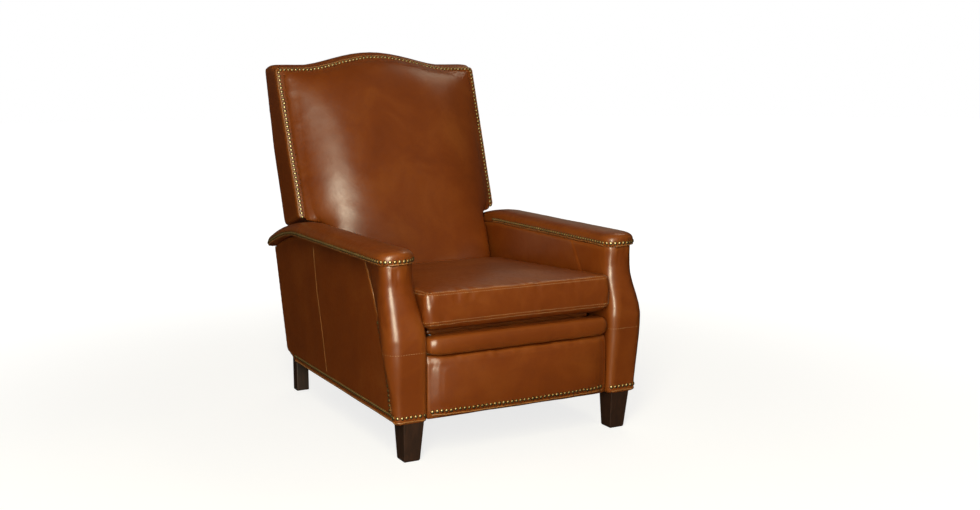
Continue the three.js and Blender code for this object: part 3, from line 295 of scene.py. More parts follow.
def brass_patina_and_painted_light(name, colour):
    """Stamped brass nail heads with a faint mottled patina, brown-black round the rim with painted
    shade and paler at the crown with a painted highlight; the crown is also smoother."""
    material, tree, coords = new_material(name)
    patina = mottle(tree, coords, 0.006, 3.0, Roughness=0.6)
    # Height on the dome with mottled patina: the rim is darkened as painted shade and the crown lightened as a painted
    # highlight
    crown_light_and_patina = maths(tree, "ADD", attribute(tree, "crown"), mapped(tree, patina, 0.3, 0.7, -0.14, 0.14))
    metal = ramped(tree, crown_light_and_patina, [(0.36, painted("#3D2E1A")), (0.64, painted("#6F5A36")), (0.92, (*colour, 1))])
    finish_material(tree, Base_Color=metal, Metallic=1.0, Roughness=mapped(tree, crown_light_and_patina, 0.4, 1.0, 0.6, 0.4))
    return material


def zinc_plated_steel(name):
    """Pressed steel strip with bright zinc plating, faintly cloudy and brushed along its length."""
    material, tree, coords = new_material(name)
    brushed = mottle(tree, stretched(tree, coords, (1.0, 0.04, 1.0)), 0.0008, 3.0)
    zinc = ramped(tree, mottle(tree, coords, 0.02, 3.0), [(0.3, painted("#8A8C8E")), (0.7, painted("#B4B6B6"))])
    finish_material(tree, Base_Color=zinc, Metallic=1.0, Roughness=mapped(tree, brushed, 0.3, 0.7, 0.26, 0.44))
    return material


def oiled_spring_wire(name):
    """Cold-drawn spring steel, blackened and oiled: near black with a dull metal sheen."""
    material, tree, coords = new_material(name)
    steel = ramped(tree, mottle(tree, coords, 0.004, 3.0), [(0.35, painted("#26272A")), (0.7, painted("#45464A"))])
    finish_material(tree, Base_Color=steel, Metallic=0.8, Roughness=0.42)
    return material


def woven_cloth(name, warp, weft, thread):
    """Plain-woven cloth: two sets of threads over and under, here drawn a little coarse to show."""
    material, tree, coords = new_material(name)
    threads = []
    for direction, scale in (("X", 0.05), ("DIAGONAL", 0.03)):
        inputs = {"Vector": coords, "Scale": scale / thread, "Distortion": 0.4}
        threads.append(add_node(tree, "ShaderNodeTexWave", {"bands_direction": direction}, inputs).outputs["Fac"])
    height = maths(tree, "MULTIPLY", *threads)
    cloth = ramped(tree, height, [(0.1, painted(weft)), (0.8, painted(warp))])
    finish_material(tree, Base_Color=cloth, Roughness=0.9, Normal=bumped(tree, height, 0.5, 0.5 * MM))
    return material


def waxed_thread(name, colour):
    """Bonded polyester thread, lightly waxed, with the twist of its plies."""
    material, tree, coords = new_material(name)
    shade = tuple(c * 0.55 for c in colour)
    twist = mottle(tree, coords, 0.0012, 2.0)
    finish_material(tree, Base_Color=ramped(tree, twist, [(0.35, (*shade, 1)), (0.6, (*colour, 1))]), Roughness=0.55)
    return material


MADE = {}


def material_for(kind):
    """The object's finishes, each made once."""
    leather, trim, _ = settings()
    makers = {
        "leather": lambda: waxed_leather(
            "Waxed_full_grain_leather", leather.body, leather.dark, leather.pale, leather.fold, leather.grain
        ),
        # Piping in a paler tan than the hide: partly its own colour, partly a painted highlight for the light its edge
        # catches
        "welt": lambda: waxed_leather(
            "Leather_piping_with_painted_highlight", linear("#A06A3A"), linear("#84502A"), linear("#C29463"), leather.fold, leather.grain
        ),
        "brass": lambda: brass_patina_and_painted_light("Brass_nails_patina_and_painted_light", trim.brass),
        "thread": lambda: waxed_thread("Waxed_bonded_thread", trim.yarn),
        "espresso": lambda: grained_wood("Espresso_lacquered_hardwood", "#3E2315", "#2F190E", "#1F1009", 0.42),
        "hardwood": lambda: grained_wood("Oiled_hardwood", "#8E6336", "#744B24", "#523315", 0.62),
        "plywood": lambda: grained_wood("Birch_plywood", "#CDAB7C", "#B98F5C", "#8F6A3E", 0.66, ring=0.02),
        "zinc": lambda: zinc_plated_steel("Zinc_plated_steel"),
        "wire": lambda: oiled_spring_wire("Oiled_spring_wire"),
        "felt": lambda: woven_cloth("Brown_decking_cloth", "#5A3419", "#3A200F", 1.6 * MM),
        "webbing": lambda: woven_cloth("Woven_webbing", "#5A5148", "#2E2A25", 1.4 * MM),
    }
    if kind not in MADE:
        MADE[kind] = makers[kind]()
    return MADE[kind]


# Shapes


def cad_copy(*nodes):
    """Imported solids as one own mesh, with its corners merged and its triangles paired up."""
    shape = bmesh.new()
    for node in nodes:
        shape.from_mesh(frame["nodes"][node].data)
    bmesh.ops.remove_doubles(shape, verts=shape.verts, dist=0.02 * MM)
    bmesh.ops.join_triangles(
        shape,
        faces=shape.faces,
        angle_face_threshold=math.radians(30),
        angle_shape_threshold=math.radians(60),
    )
    return shape


def new_object(name, data):
    made = bpy.data.objects.new(name, data)
    bpy.context.collection.objects.link(made)
    return made


def new_piece(name, shape):
    mesh = bpy.data.meshes.new(name)
    shape.to_mesh(mesh)
    shape.free()
    return new_object(name, mesh)


def bake_modifiers(piece):
    """Turns the piece and its modifiers into one plain mesh."""
    graph = bpy.context.evaluated_depsgraph_get()
    baked = bpy.data.meshes.new_from_object(piece.evaluated_get(graph), depsgraph=graph)
    piece.modifiers.clear()
    old = piece.data
    piece.data = baked
    bpy.data.meshes.remove(old)
    piece.data.name = piece.name


def add_modifier(piece, kind, **values):
    modifier = piece.modifiers.new(kind.title(), kind)
    for name, value in values.items():
        setattr(modifier, name, value)
    return modifier


def refine(piece):
    add_modifier(piece, "SUBSURF", levels=1, render_levels=1)
    bake_modifiers(piece)


def points_of(mesh, field="co"):
    values = np.empty(len(mesh.vertices) * 3, np.float32)
    mesh.vertices.foreach_get(field, values)
    return values.reshape(-1, 3)


def normals_of(mesh):
    return points_of(mesh, "normal")


def set_points(mesh, co):
    mesh.vertices.foreach_set("co", np.ascontiguousarray(co, np.float32).ravel())
    mesh.update()


def averages(mesh, field, times):
    """A field over the points, averaged with each point's neighbours a number of times."""
    pairs = np.empty(len(mesh.edges) * 2, np.int32)
    mesh.edges.foreach_get("vertices", pairs)
    a, b = pairs.reshape(-1, 2).T
    count = len(field)
    degree = np.bincount(a, minlength=count) + np.bincount(b, minlength=count)
    degree = np.maximum(degree, 1)[:, None]
    field = field.astype(float).reshape(count, -1)
    for _ in range(times):
        total = np.empty_like(field)
        for k in range(field.shape[1]):
            total[:, k] = np.bincount(a, field[b, k], count) + np.bincount(b, field[a, k], count)
        field = (field + total / degree) / 2
    return field


WEAR_AND_SHADE_RELIEF = 2.2 * MM


def mark_wear_and_shade(piece):
    """Stores as 'wear' how far each point stands out: 0 in a fold, 0.5 on the flat, 1 on an edge."""
    mesh = piece.data
    co = points_of(mesh)
    # Low values later paint shade into folds and seams, high values pale the worn edges
    standing = ((co - averages(mesh, co, 24)) * normals_of(mesh)).sum(1)
    wear_and_shade = np.clip(0.5 + averages(mesh, standing, 2)[:, 0] / (2 * WEAR_AND_SHADE_RELIEF), 0, 1)
    attribute = mesh.attributes.get("wear_and_shade") or mesh.attributes.new("wear_and_shade", "FLOAT", "POINT")
    attribute.data.foreach_set("value", wear_and_shade.astype(np.float32))


def rumple(piece, depth, size, seed=0):
    """Moves the surface in and out a little, as hide over padding does."""
    mesh = piece.data
    co, out = points_of(mesh), normals_of(mesh)
    shift = Vector((seed * 3.7, seed * 1.3, seed * 2.1))
    lift = np.array([noise.fractal(Vector(p) / size + shift, 1.0, 2.0, 3) for p in co])
    set_points(mesh, co + out * (lift * depth)[:, None])


def gather(piece, runs, depth, pitch, reach, seed=0):
    """Small folds that run off a seam and die out: each point near a run moves in or out with its
    place along the run."""
    mesh = piece.data
    co, out = points_of(mesh), normals_of(mesh)
    spots, marks = [], []
    for number, run in enumerate(runs):
        length = 0.0
        for here, after in zip(run, run[1:]):
            step = (after - here).length
            parts = max(1, round(step / (pitch / 6)))
            for k in range(parts):
                spots.append(here.lerp(after, k / parts))
                marks.append((length + step * k / parts) / pitch + 37 * number)
            length += step
    tree = KDTree(len(spots))
    for i, spot in enumerate(spots):
        tree.insert(spot, i)
    tree.balance()
    moved = np.zeros(len(co))
    for i, p in enumerate(co):
        _, index, far = tree.find(p)
        if far < 2.5 * reach:
            fold = noise.noise(Vector((marks[index] * 1.7, seed * 9.1, far / reach)))
            moved[i] = depth * fold * 2 * math.exp(-((far / reach) ** 2)) * min(1, far / (0.12 * reach))
    set_points(mesh, co + out * moved[:, None])


def fullness(off, power):
    """How much further a squarer front stands out than a half circle, at each place across it."""
    off = np.clip(np.abs(off), 0, 1)
    return (1 - off**power) ** (1 / power) - np.sqrt(1 - off**2)


HEM_DROP, HEM_HEIGHT = 4.5, 12


def let_down(piece):
    """Draws the lowest edge of a cover down over the tops of the legs."""
    co = points_of(piece.data)
    co[:, 2] -= HEM_DROP * MM * np.clip((UNDERSIDE + HEM_HEIGHT - co[:, 2] / MM) / 10, 0, 1)
    set_points(piece.data, co)


def upholstered(name, nodes, voxel, smooth=3):
    """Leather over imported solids: their form in small even faces with softened edges."""
    piece = new_piece(name, cad_copy(*nodes))
    add_modifier(piece, "REMESH", mode="VOXEL", voxel_size=voxel, use_smooth_shade=True)
    add_modifier(piece, "SMOOTH", factor=0.5, iterations=smooth)
    bake_modifiers(piece)
    return piece


CLOTH_FRAMES = 20
COVER_CLOTH = {
    "quality": 5,
    "mass": 0.35,
    "tension_stiffness": 12,
    "compression_stiffness": 12,
    "shear_stiffness": 6,
    "bending_stiffness": 1.5,
    "use_pressure": True,
    "uniform_pressure_force": 4.0,
    "vertex_group_mass": "seams",
}


def plumped(piece, pinned, cap, even):
    """Blows the cover up from inside with its seams held, as stuffing does, and keeps the result.
    No point moves further than cap, and the movement is averaged a number of times."""
    mesh = piece.data
    rest = points_of(mesh)
    group = piece.vertex_groups.new(name="seams")
    group.add([int(i) for i in np.nonzero(pinned(rest))[0]], 1.0, "REPLACE")
    cloth = add_modifier(piece, "CLOTH")
    for name, value in COVER_CLOTH.items():
        setattr(cloth.settings, name, value)
    cloth.settings.effector_weights.gravity = 0
    cloth.collision_settings.use_collision = False
    cloth.point_cache.frame_start = 1
    cloth.point_cache.frame_end = CLOTH_FRAMES
    scene = bpy.context.scene
    for number in range(1, CLOTH_FRAMES + 1):
        scene.frame_set(number)
    graph = bpy.context.evaluated_depsgraph_get()
    swollen = points_of(piece.evaluated_get(graph).data).copy()
    piece.modifiers.clear()
    scene.frame_set(1)
    step = swollen - rest
    far = np.linalg.norm(step, axis=1)
    step *= (cap * np.tanh(far / cap) / np.maximum(far, 1e-9))[:, None]
    set_points(mesh, rest + averages(mesh, step, even))
    piece.vertex_groups.clear()


def kept_within(piece, low, high):
    """Flattens what stands past a box, so that a soft piece stays clear of its neighbours."""
    co = points_of(piece.data)
    set_points(piece.data, np.clip(co, np.array(low), np.array(high)))


def dress(piece, body, nodes, kind="leather"):
    """Gives a finished piece its material and its body, and hides the solids it stands for."""
    piece.data.materials.clear()
    piece.data.materials.append(material_for(kind))
    piece.data.polygons.foreach_set("use_smooth", [True] * len(piece.data.polygons))
    if kind in ("leather", "welt"):
        mark_wear_and_shade(piece)
    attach(piece, body)
    if nodes:
        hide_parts(*nodes)


def covered(name, body, nodes, voxel, smooth=3, shape=None, uneven=None):
    """A plain cover from start to finish, with a step of its own shaping if it has one."""
    piece = upholstered(name, nodes, voxel, smooth)
    if shape:
        shape(piece)
    if uneven:
        rumple(piece, *uneven)
    dress(piece, body, nodes)


# Lines on the leather


def trees_of(*names):
    """Surfaces of finished pieces, to lay lines on."""
    graph = bpy.context.evaluated_depsgraph_get()
    return [BVHTree.FromObject(bpy.data.objects[name], graph) for name in names]


def laid_on(points, trees, sink=0.0, reach=60 * MM):
    """Each point moved to the nearest of the surfaces, with the surface's outward direction there."""
    run = []
    for p in points:
        hits = [tree.find_nearest(p, reach) for tree in trees]
        hits = [h for h in hits if h[0] is not None]
        if hits:
            spot, out, _, _ = min(hits, key=lambda h: h[3])
            run.append((spot - out * sink, out))
    return run


def densely(points, step=6 * MM):
    """A line through points, with one every step."""
    dense = []
    for here, after in zip(points, points[1:]):
        parts = max(1, round((after - here).length / step))
        dense += [here.lerp(after, k / parts) for k in range(parts)]
    return [*dense, points[-1]]


def rounded(points, times=2):
    """The line with its corners worn off."""
    for _ in range(times):
        middle = [(a + 2 * b + c) / 4 for a, b, c in zip(points, points[1:], points[2:])]
        points = [points[0], *middle, points[-1]]
    return points


def guide(name, runs):
    """Runs of (place, outward direction) as a mesh of edges that carries the direction as 'out'."""
    mesh = bpy.data.meshes.new(name)
    places, edges, outs = [], [], []
    for run in runs:
        start = len(places)
        places += [p for p, _ in run]
        outs += [c for _, out in run for c in out]
        edges += [(i, i + 1) for i in range(start, len(places) - 1)]
    mesh.from_pydata(places, edges, [])
    mesh.attributes.new("out", "FLOAT_VECTOR", "POINT").data.foreach_set("vector", outs)
    return new_object(name, mesh)


def new_tree(name, sizes):
    """An empty geometry tree with a guide, named sizes, a seed and a material as its inputs."""
    tree = bpy.data.node_groups.new(name, "GeometryNodeTree")
    face = tree.interface
    face.new_socket("Geometry", in_out="INPUT", socket_type="NodeSocketGeometry")
    for size in sizes:
        face.new_socket(size, in_out="INPUT", socket_type="NodeSocketFloat")
    face.new_socket("Seed", in_out="INPUT", socket_type="NodeSocketInt")
    face.new_socket("Material", in_out="INPUT", socket_type="NodeSocketMaterial")
    face.new_socket("Geometry", in_out="OUTPUT", socket_type="NodeSocketGeometry")
    given = add_node(tree, "NodeGroupInput").outputs
    curve = add_node(tree, "GeometryNodeMeshToCurve", inputs={"Mesh": given["Geometry"]})
    return tree, given, curve.outputs["Curve"]


def close_tree(tree, given, geometry):
    """Ends a tree: real geometry, smooth, in its material."""
    real = add_node(tree, "GeometryNodeRealizeInstances", inputs={"Geometry": geometry})
    smooth = add_node(tree, "GeometryNodeSetShadeSmooth", inputs={"Geometry": real.outputs["Geometry"]})
    coated = add_node(
        tree,
        "GeometryNodeSetMaterial",
        inputs={"Geometry": smooth.outputs["Geometry"], "Material": given["Material"]},
    )
    add_node(tree, "NodeGroupOutput", inputs={0: coated.outputs["Geometry"]})
    return tree


def turned(tree, axis, vector, **more):
    """A rotation that points an axis along a direction."""
    values = {"axis": axis, **({"pivot_axis": "X"} if more else {})}
    node = add_node(tree, "FunctionNodeAlignRotationToVector", values, {"Vector": vector, **more})
    return node.outputs["Rotation"]


def outward(tree):
    values = {"data_type": "FLOAT_VECTOR"}
    return add_node(tree, "GeometryNodeInputNamedAttribute", values, {"Name": "out"}).outputs["Attribute"]


def ball(tree, segments, rings, radius, scale):
    """A sphere of few faces, drawn out along its axes."""
    shape = {"Segments": segments, "Rings": rings, "Radius": radius}
    sphere = add_node(tree, "GeometryNodeMeshUVSphere", inputs=shape)
    axes = add_node(tree, "ShaderNodeCombineXYZ", inputs=dict(zip("XYZ", scale)))
    inputs = {"Geometry": sphere.outputs["Mesh"], "Scale": axes.outputs["Vector"]}
    return add_node(tree, "GeometryNodeTransform", inputs=inputs).outputs["Geometry"]


def repeated(tree, given, curve, shape, turn, sizes):
    """Ends a tree with one shape every pitch along the curve, each of a slightly different size."""
    spots = add_node(
        tree, "GeometryNodeResampleCurve", {"mode": "LENGTH"}, {"Curve": curve, "Length": given["Pitch"]}
    )
    least, most = sizes
    size = add_node(
        tree, "FunctionNodeRandomValue", {"data_type": "FLOAT"}, {2: least, 3: most, "Seed": given["Seed"]}
    )
    inputs = {"Points": spots.outputs["Curve"], "Instance": shape, "Rotation": turn, "Scale": size.outputs[1]}
    rows = add_node(tree, "GeometryNodeInstanceOnPoints", inputs=inputs)
    return close_tree(tree, given, rows.outputs["Instances"])


def nail_tree():
    """A domed nail every pitch along a guide, standing along 'out'."""
    tree, given, curve = new_tree("Nail_row", ["Pitch", "Head", "Dome"])
    radius = maths(tree, "MULTIPLY", given["Head"], 0.5)
    head = ball(tree, 10, 6, radius, (1.0, 1.0, maths(tree, "DIVIDE", given["Dome"], radius)))
    where = add_node(tree, "GeometryNodeInputPosition")
    high = add_node(tree, "ShaderNodeSeparateXYZ", inputs={"Vector": where.outputs["Position"]})
    # Stores the height on the dome as 'crown', which the nail finish turns into painted shade at the rim and a painted
    # highlight on top
    domed = add_node(
        tree,
        "GeometryNodeStoreNamedAttribute",
        {"data_type": "FLOAT", "domain": "POINT"},
        {"Geometry": head, "Name": "crown", "Value": maths(tree, "DIVIDE", high.outputs["Z"], given["Dome"])},
    )
    turn = turned(tree, "Z", outward(tree))
    return repeated(tree, given, curve, domed.outputs["Geometry"], turn, (0.92, 1.04))


def stitch_tree():
    """A stitch every pitch along a guide, lying along it with its ends drawn into the leather."""
    tree, given, curve = new_tree("Stitch_row", ["Pitch", "Length", "Thread"])
    tangent = add_node(tree, "GeometryNodeInputTangent").outputs["Tangent"]
    turn = turned(tree, "Z", outward(tree), Rotation=turned(tree, "X", tangent))
    half = maths(tree, "MULTIPLY", given["Length"], 0.5)
    thread = ball(tree, 6, 5, 1.0, (half, given["Thread"], given["Thread"]))
    return repeated(tree, given, curve, thread, turn, (0.9, 1.05))


def welt_tree():
    """A round cord of covered piping along a guide."""
    tree, given, curve = new_tree("Welt", ["Radius"])
    ring = add_node(
        tree, "GeometryNodeCurvePrimitiveCircle", inputs={"Resolution": 8, "Radius": given["Radius"]}
    )
    inputs = {"Curve": curve, "Profile Curve": ring.outputs["Curve"], "Fill Caps": True}
    cord = add_node(tree, "GeometryNodeCurveToMesh", inputs=inputs)
    return close_tree(tree, given, cord.outputs["Mesh"])


TREES = {"nails": nail_tree, "stitches": stitch_tree, "welt": welt_tree}
GROWN = {}


def grown(name, kind, runs, body, material, **sizes):
    """Runs a tree over guide lines and keeps the result as one plain mesh on a body."""
    if kind not in GROWN:
        GROWN[kind] = TREES[kind]()
    tree = GROWN[kind]
    holder = guide(name + "_guide", [run for run in runs if len(run) > 1])
    modifier = holder.modifiers.new("Row", "NODES")
    modifier.node_group = tree
    values = {**sizes, "Seed": 7, "Material": material_for(material)}
    for item in tree.interface.items_tree:
        if item.item_type == "SOCKET" and item.in_out == "INPUT" and item.name in values:
            modifier[item.identifier] = values[item.name]
    holder.update_tag()
    graph = bpy.context.evaluated_depsgraph_get()
    mesh = bpy.data.meshes.new_from_object(holder.evaluated_get(graph), depsgraph=graph)
    mesh.name = name
    holder.modifiers.clear()
    bpy.data.objects.remove(holder)
    piece = new_object(name, mesh)
    if kind == "welt":
        mesh.attributes.new("wear_and_shade", "FLOAT", "POINT").data.foreach_set("value", [0.6] * len(mesh.vertices))
    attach(piece, body)
    return piece


# The camera's place in millimetres, its sensor's width and the picture's width in pixels
EYE, SENSOR, PICTURE_WIDTH = (-1587, -3319.2, 1025.2), 36, 980

# Measured lines, in millimetres

UNDERSIDE = 114
CAP_UNDERSIDE = 532
CAP_INNER, CAP_OUTER = 293, 403
CAP_NOSE = -430
CAP_REAR, CAP_CORNER, CAP_LINE_END = 492, 32, 230
POST_INNER, PANEL_X = 286, 373
POST_BELLY, POST_NECK, NECK_MIDDLE, NECK_HALF = 330, 480, 340.5, 48.5
DIP_START, DIP_END, DIP_DEPTH, DIP_POWER = 185, 492, 70, 1.75
RAKE = math.radians(19.8)
BACK_Y, BACK_Z = 305, 572
BACK_HALF, FLARE, SHOULDER, CREST, CREST_HALF = 348, 10, 506, 43, 240
SEAT_FRONT, SEAT_SEAM, SEAT_PITCH = 509, 371, math.radians(3)
SEAT_BOXING = 82
FOOT_CROWN, FOOT_FRONT, FOOT_HALF = 7 * MM, -530, 278
TRIM_FOOT, TRIM_SWEEP, TRIM_HEIGHT, TRIM_POWER = -463, 150, 388, 1.66
NAIL_LEVEL, WELT_LEVEL, BAND_LEVEL = 128, UNDERSIDE - 2, 300  # heights of the lowest rows
NAIL_SINK, WELT_SINK, SLANT_SINK, RIM_SINK = 0.6 * MM, 0.4 * MM, 1.2 * MM, 0.5 * MM


def arm_dip(y):
    return DIP_DEPTH * max(0, (y - DIP_START) / (DIP_END - DIP_START)) ** DIP_POWER


def trim_y(z):
    """How far back the seam between a post and its side panel lies, at a height or at many."""
    return TRIM_FOOT + TRIM_SWEEP * np.clip((z - UNDERSIDE) / TRIM_HEIGHT, 0, None) ** TRIM_POWER


def on_back(x, up, out):
    """A place on the raked back: across, up the rake, and out of its front plane."""
    y = BACK_Y + up * math.sin(RAKE) - out * math.cos(RAKE)
    z = BACK_Z + up * math.cos(RAKE) + out * math.sin(RAKE)
    return place(x, y, z)


def back_half(up):
    """Half the width of the back, which grows from its foot to its shoulders."""
    rise = BACK_Z - CAP_UNDERSIDE
    return BACK_HALF + FLARE * (rise + up * math.cos(RAKE)) / (rise + SHOULDER * math.cos(RAKE))


def crest_rise(x):
    share = min(1, abs(x) / CREST_HALF)
    return CREST * ((1 + math.cos(math.pi * share)) / 2) ** 0.72


def on_seat(x, back, up):
    """A place on the pitched seat: across, behind the front seam, and above it."""
    y = -SEAT_FRONT + back * math.cos(SEAT_PITCH) + up * math.sin(SEAT_PITCH)
    z = SEAT_SEAM - back * math.sin(SEAT_PITCH) + up * math.cos(SEAT_PITCH)
    return place(x, y, z)


def cap_line(sign, above, out=0):
    """Round an arm cap at a height above its underside, from its outer rear to its inner rear."""
    middle, half = (CAP_INNER + CAP_OUTER) / 2, (CAP_OUTER - CAP_INNER) / 2 + out
    turn, start = CAP_CORNER + out, CAP_REAR - CAP_CORNER
    rear = [
        (middle + half - turn + turn * math.cos(a), start + turn * math.sin(a))
        for a in [math.radians(72 - 12 * k) for k in range(6)]
    ]
    outer = [*rear, *((middle + half, y) for y in range(start, CAP_NOSE, -20))]
    nose = [
        (middle + half * math.cos(a), CAP_NOSE - half * math.sin(a))
        for a in [math.pi * k / 24 for k in range(25)]
    ]
    inner = [(middle - half, y) for y in range(CAP_NOSE + 20, CAP_LINE_END, 20)]
    return [place(sign * x, y, CAP_UNDERSIDE + above - arm_dip(y)) for x, y in [*outer, *nose, *inner]]


def back_edge_line(inset, out):
    """Up one side of the back's front face, over the camel top and down the other side."""
    top = SHOULDER - inset
    wide = back_half(top) - inset
    left = [on_back(inset - back_half(up), up, out) for up in np.linspace(0, top, 40)]
    over = [on_back(x, top + crest_rise(x), out) for x in np.linspace(-wide, wide, 90)]
    right = [on_back(back_half(up) - inset, up, out) for up in np.linspace(top, 0, 40)]
    return [*left, *over, *right]


# Pieces


class RECLINER_OT_arms(bpy.types.Operator):
    """Leather over the posts, arm caps, inner arms and side panels"""

    bl_idname = "recliner.arms"
    bl_label = "Arms and sides"

    def execute(self, context):
        leather, _, _ = settings()
        for side, sign in SIDES.items():
            under = [f"{side}_front_post", f"{side}_inner_arm"]
            arm = upholstered(f"{side}_arm_leather", under, 4.5 * MM)
            self.fill_post(arm, sign)
            let_down(arm)
            neck = [place(sign * x, -478, 524) for x in (290, 300, 340, 376)]
            foot = [place(sign * PANEL_X, trim_y(z), z) for z in range(120, 530, 20)]
            gather(arm, [neck], leather.gather * 1.6, 24 * MM, 45 * MM, sign)
            gather(arm, [foot], leather.gather, 34 * MM, 30 * MM, sign + 3)
            rumple(arm, leather.rumple, 0.12, 3 + sign)
            dress(arm, "base", under)
            cap = upholstered(f"{side}_cap_leather", [f"{side}_arm_cap"], 4 * MM)
            self.fill_nose(cap, sign)
            gather(cap, [cap_line(sign, 16)], leather.gather * 0.35, 26 * MM, 22 * MM, sign + 5)
            rumple(cap, leather.rumple * 0.8, 0.1, 5 + sign)
            dress(cap, "base", [f"{side}_arm_cap"])
            uneven = (leather.rumple * 0.7, 0.16, 9 + sign)
            covered(f"{side}_panel_leather", "base", [f"{side}_outer_panel"], 6 * MM, 2, let_down, uneven)
        covered("apron_leather", "base", ["rear_apron"], 5 * MM)
        return {"FINISHED"}

    @staticmethod
    def fill_post(piece, sign):
        """Fills the left corner of a post's round front under the cap, brings its outer side out
        a little, and runs its inner side into the inner arm."""
        co = points_of(piece.data)
        inward = normals_of(piece.data)[:, 0] * sign < -0.5
        x, y, z = sign * co[:, 0] / MM, (co[:, 1] - DATUM) / MM, co[:, 2] / MM
        ahead = np.clip((-395 - y) / 30, 0, 1)
        high = np.clip((z - POST_BELLY) / (POST_NECK - POST_BELLY), 0, 1)
        turned = np.minimum(sign * (x - NECK_MIDDLE) / NECK_HALF, 0)
        across = np.clip((x - POST_INNER) / (PANEL_X - POST_INNER), 0, 1)
        shift = np.zeros_like(co)
        beyond = np.clip((trim_y(z) - 8 - y) / 40, 0, 1)
        swell, outer_step, corner_fill, squareness = 7, 5, 47, 3.6
        shift[:, 0] = sign * (swell * np.sin(math.pi * across) + outer_step * across) * beyond * ahead
        shift[:, 1] = -corner_fill * fullness(turned, squareness) * high * ahead
        level = POST_INNER + 8 * high * np.clip((-290 - y) / 150, 0, 1)
        flat = inward & (x < 300) & (x > level) & (y > -440)
        shift[flat, 0] += sign * (level - x)[flat]
        set_points(piece.data, co + averages(piece.data, shift, 6) * MM)

    @staticmethod
    def fill_nose(piece, sign):
        """Fills the corner of a cap's round front on the side turned to the left."""
        co = points_of(piece.data)
        half = (CAP_OUTER - CAP_INNER) / 2
        off = co[:, 0] / MM - sign * (CAP_OUTER + CAP_INNER) / 2
        ahead = np.clip(((DATUM - co[:, 1]) / MM + CAP_NOSE + 30) / 30, 0, 1)
        co[:, 1] -= half * MM * fullness(np.minimum(off, 0) / half, 3) * ahead
        set_points(piece.data, co)


class RECLINER_OT_seat_cushion(bpy.types.Operator):
    """The boxed seat cushion, blown up between its seams"""

    bl_idname = "recliner.seat_cushion"
    bl_label = "Seat cushion"

    def execute(self, context):
        leather, _, _ = settings()
        cushion = upholstered("seat_cushion_leather", ["seat_cushion"], 7 * MM)
        low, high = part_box("seat_cushion")
        origin = np.array(on_seat(0, 0, 0))
        up = np.array((0, math.sin(SEAT_PITCH), math.cos(SEAT_PITCH)))

        def seams(co):
            height = (co - origin) @ up
            return (np.abs(height) < 4 * MM) | (np.abs(height - SEAT_BOXING * MM) < 4 * MM) | (height < -15 * MM)

        plumped(cushion, seams, 12 * MM, 6)
        refine(cushion)
        runs = [self.seam(height) for height in (0, SEAT_BOXING)]
        gather(cushion, runs, leather.gather, 30 * MM, 26 * MM, 2)
        rumple(cushion, leather.rumple, 0.09, 4)
        # Its front corners swell out before the posts
        co = points_of(cushion.data)
        co[:, 0] *= 1 + 0.024 * np.clip((low.y + 75 * MM - co[:, 1]) / (60 * MM), 0, 1)
        set_points(cushion.data, co)
        beside = 7 * MM
        kept_within(
            cushion,
            (low.x - beside, low.y - 6 * MM, low.z),
            (high.x + beside, high.y + 1.5 * MM, high.z + 8 * MM),
        )
        dress(cushion, "seat", ["seat_cushion"])
        covered("deck_leather", "seat", ["seat_deck", "seat_front_rail"], 5 * MM, 8)
        return {"FINISHED"}

    @staticmethod
    def seam(height):
        """Round the cushion at a height above its lower seam."""
        half, corner = 283, 20
        rear = 628 + 0.34 * height
        corners = [(half, 0), (half, rear), (-half, rear), (-half, 0)]
        line = []
        for (x, y), (dx, dy) in zip(corners, [(-1, 1), (-1, -1), (1, -1), (1, 1)]):
            cx, cy = x + dx * corner, y + dy * corner
            start = math.atan2(-dy, -dx) - math.pi / 4
            for k in range(7):
                a = start + math.pi / 2 * k / 6
                line.append(on_seat(cx + corner * math.cos(a), cy + corner * math.sin(a), height))
        return densely([*line, line[0]])


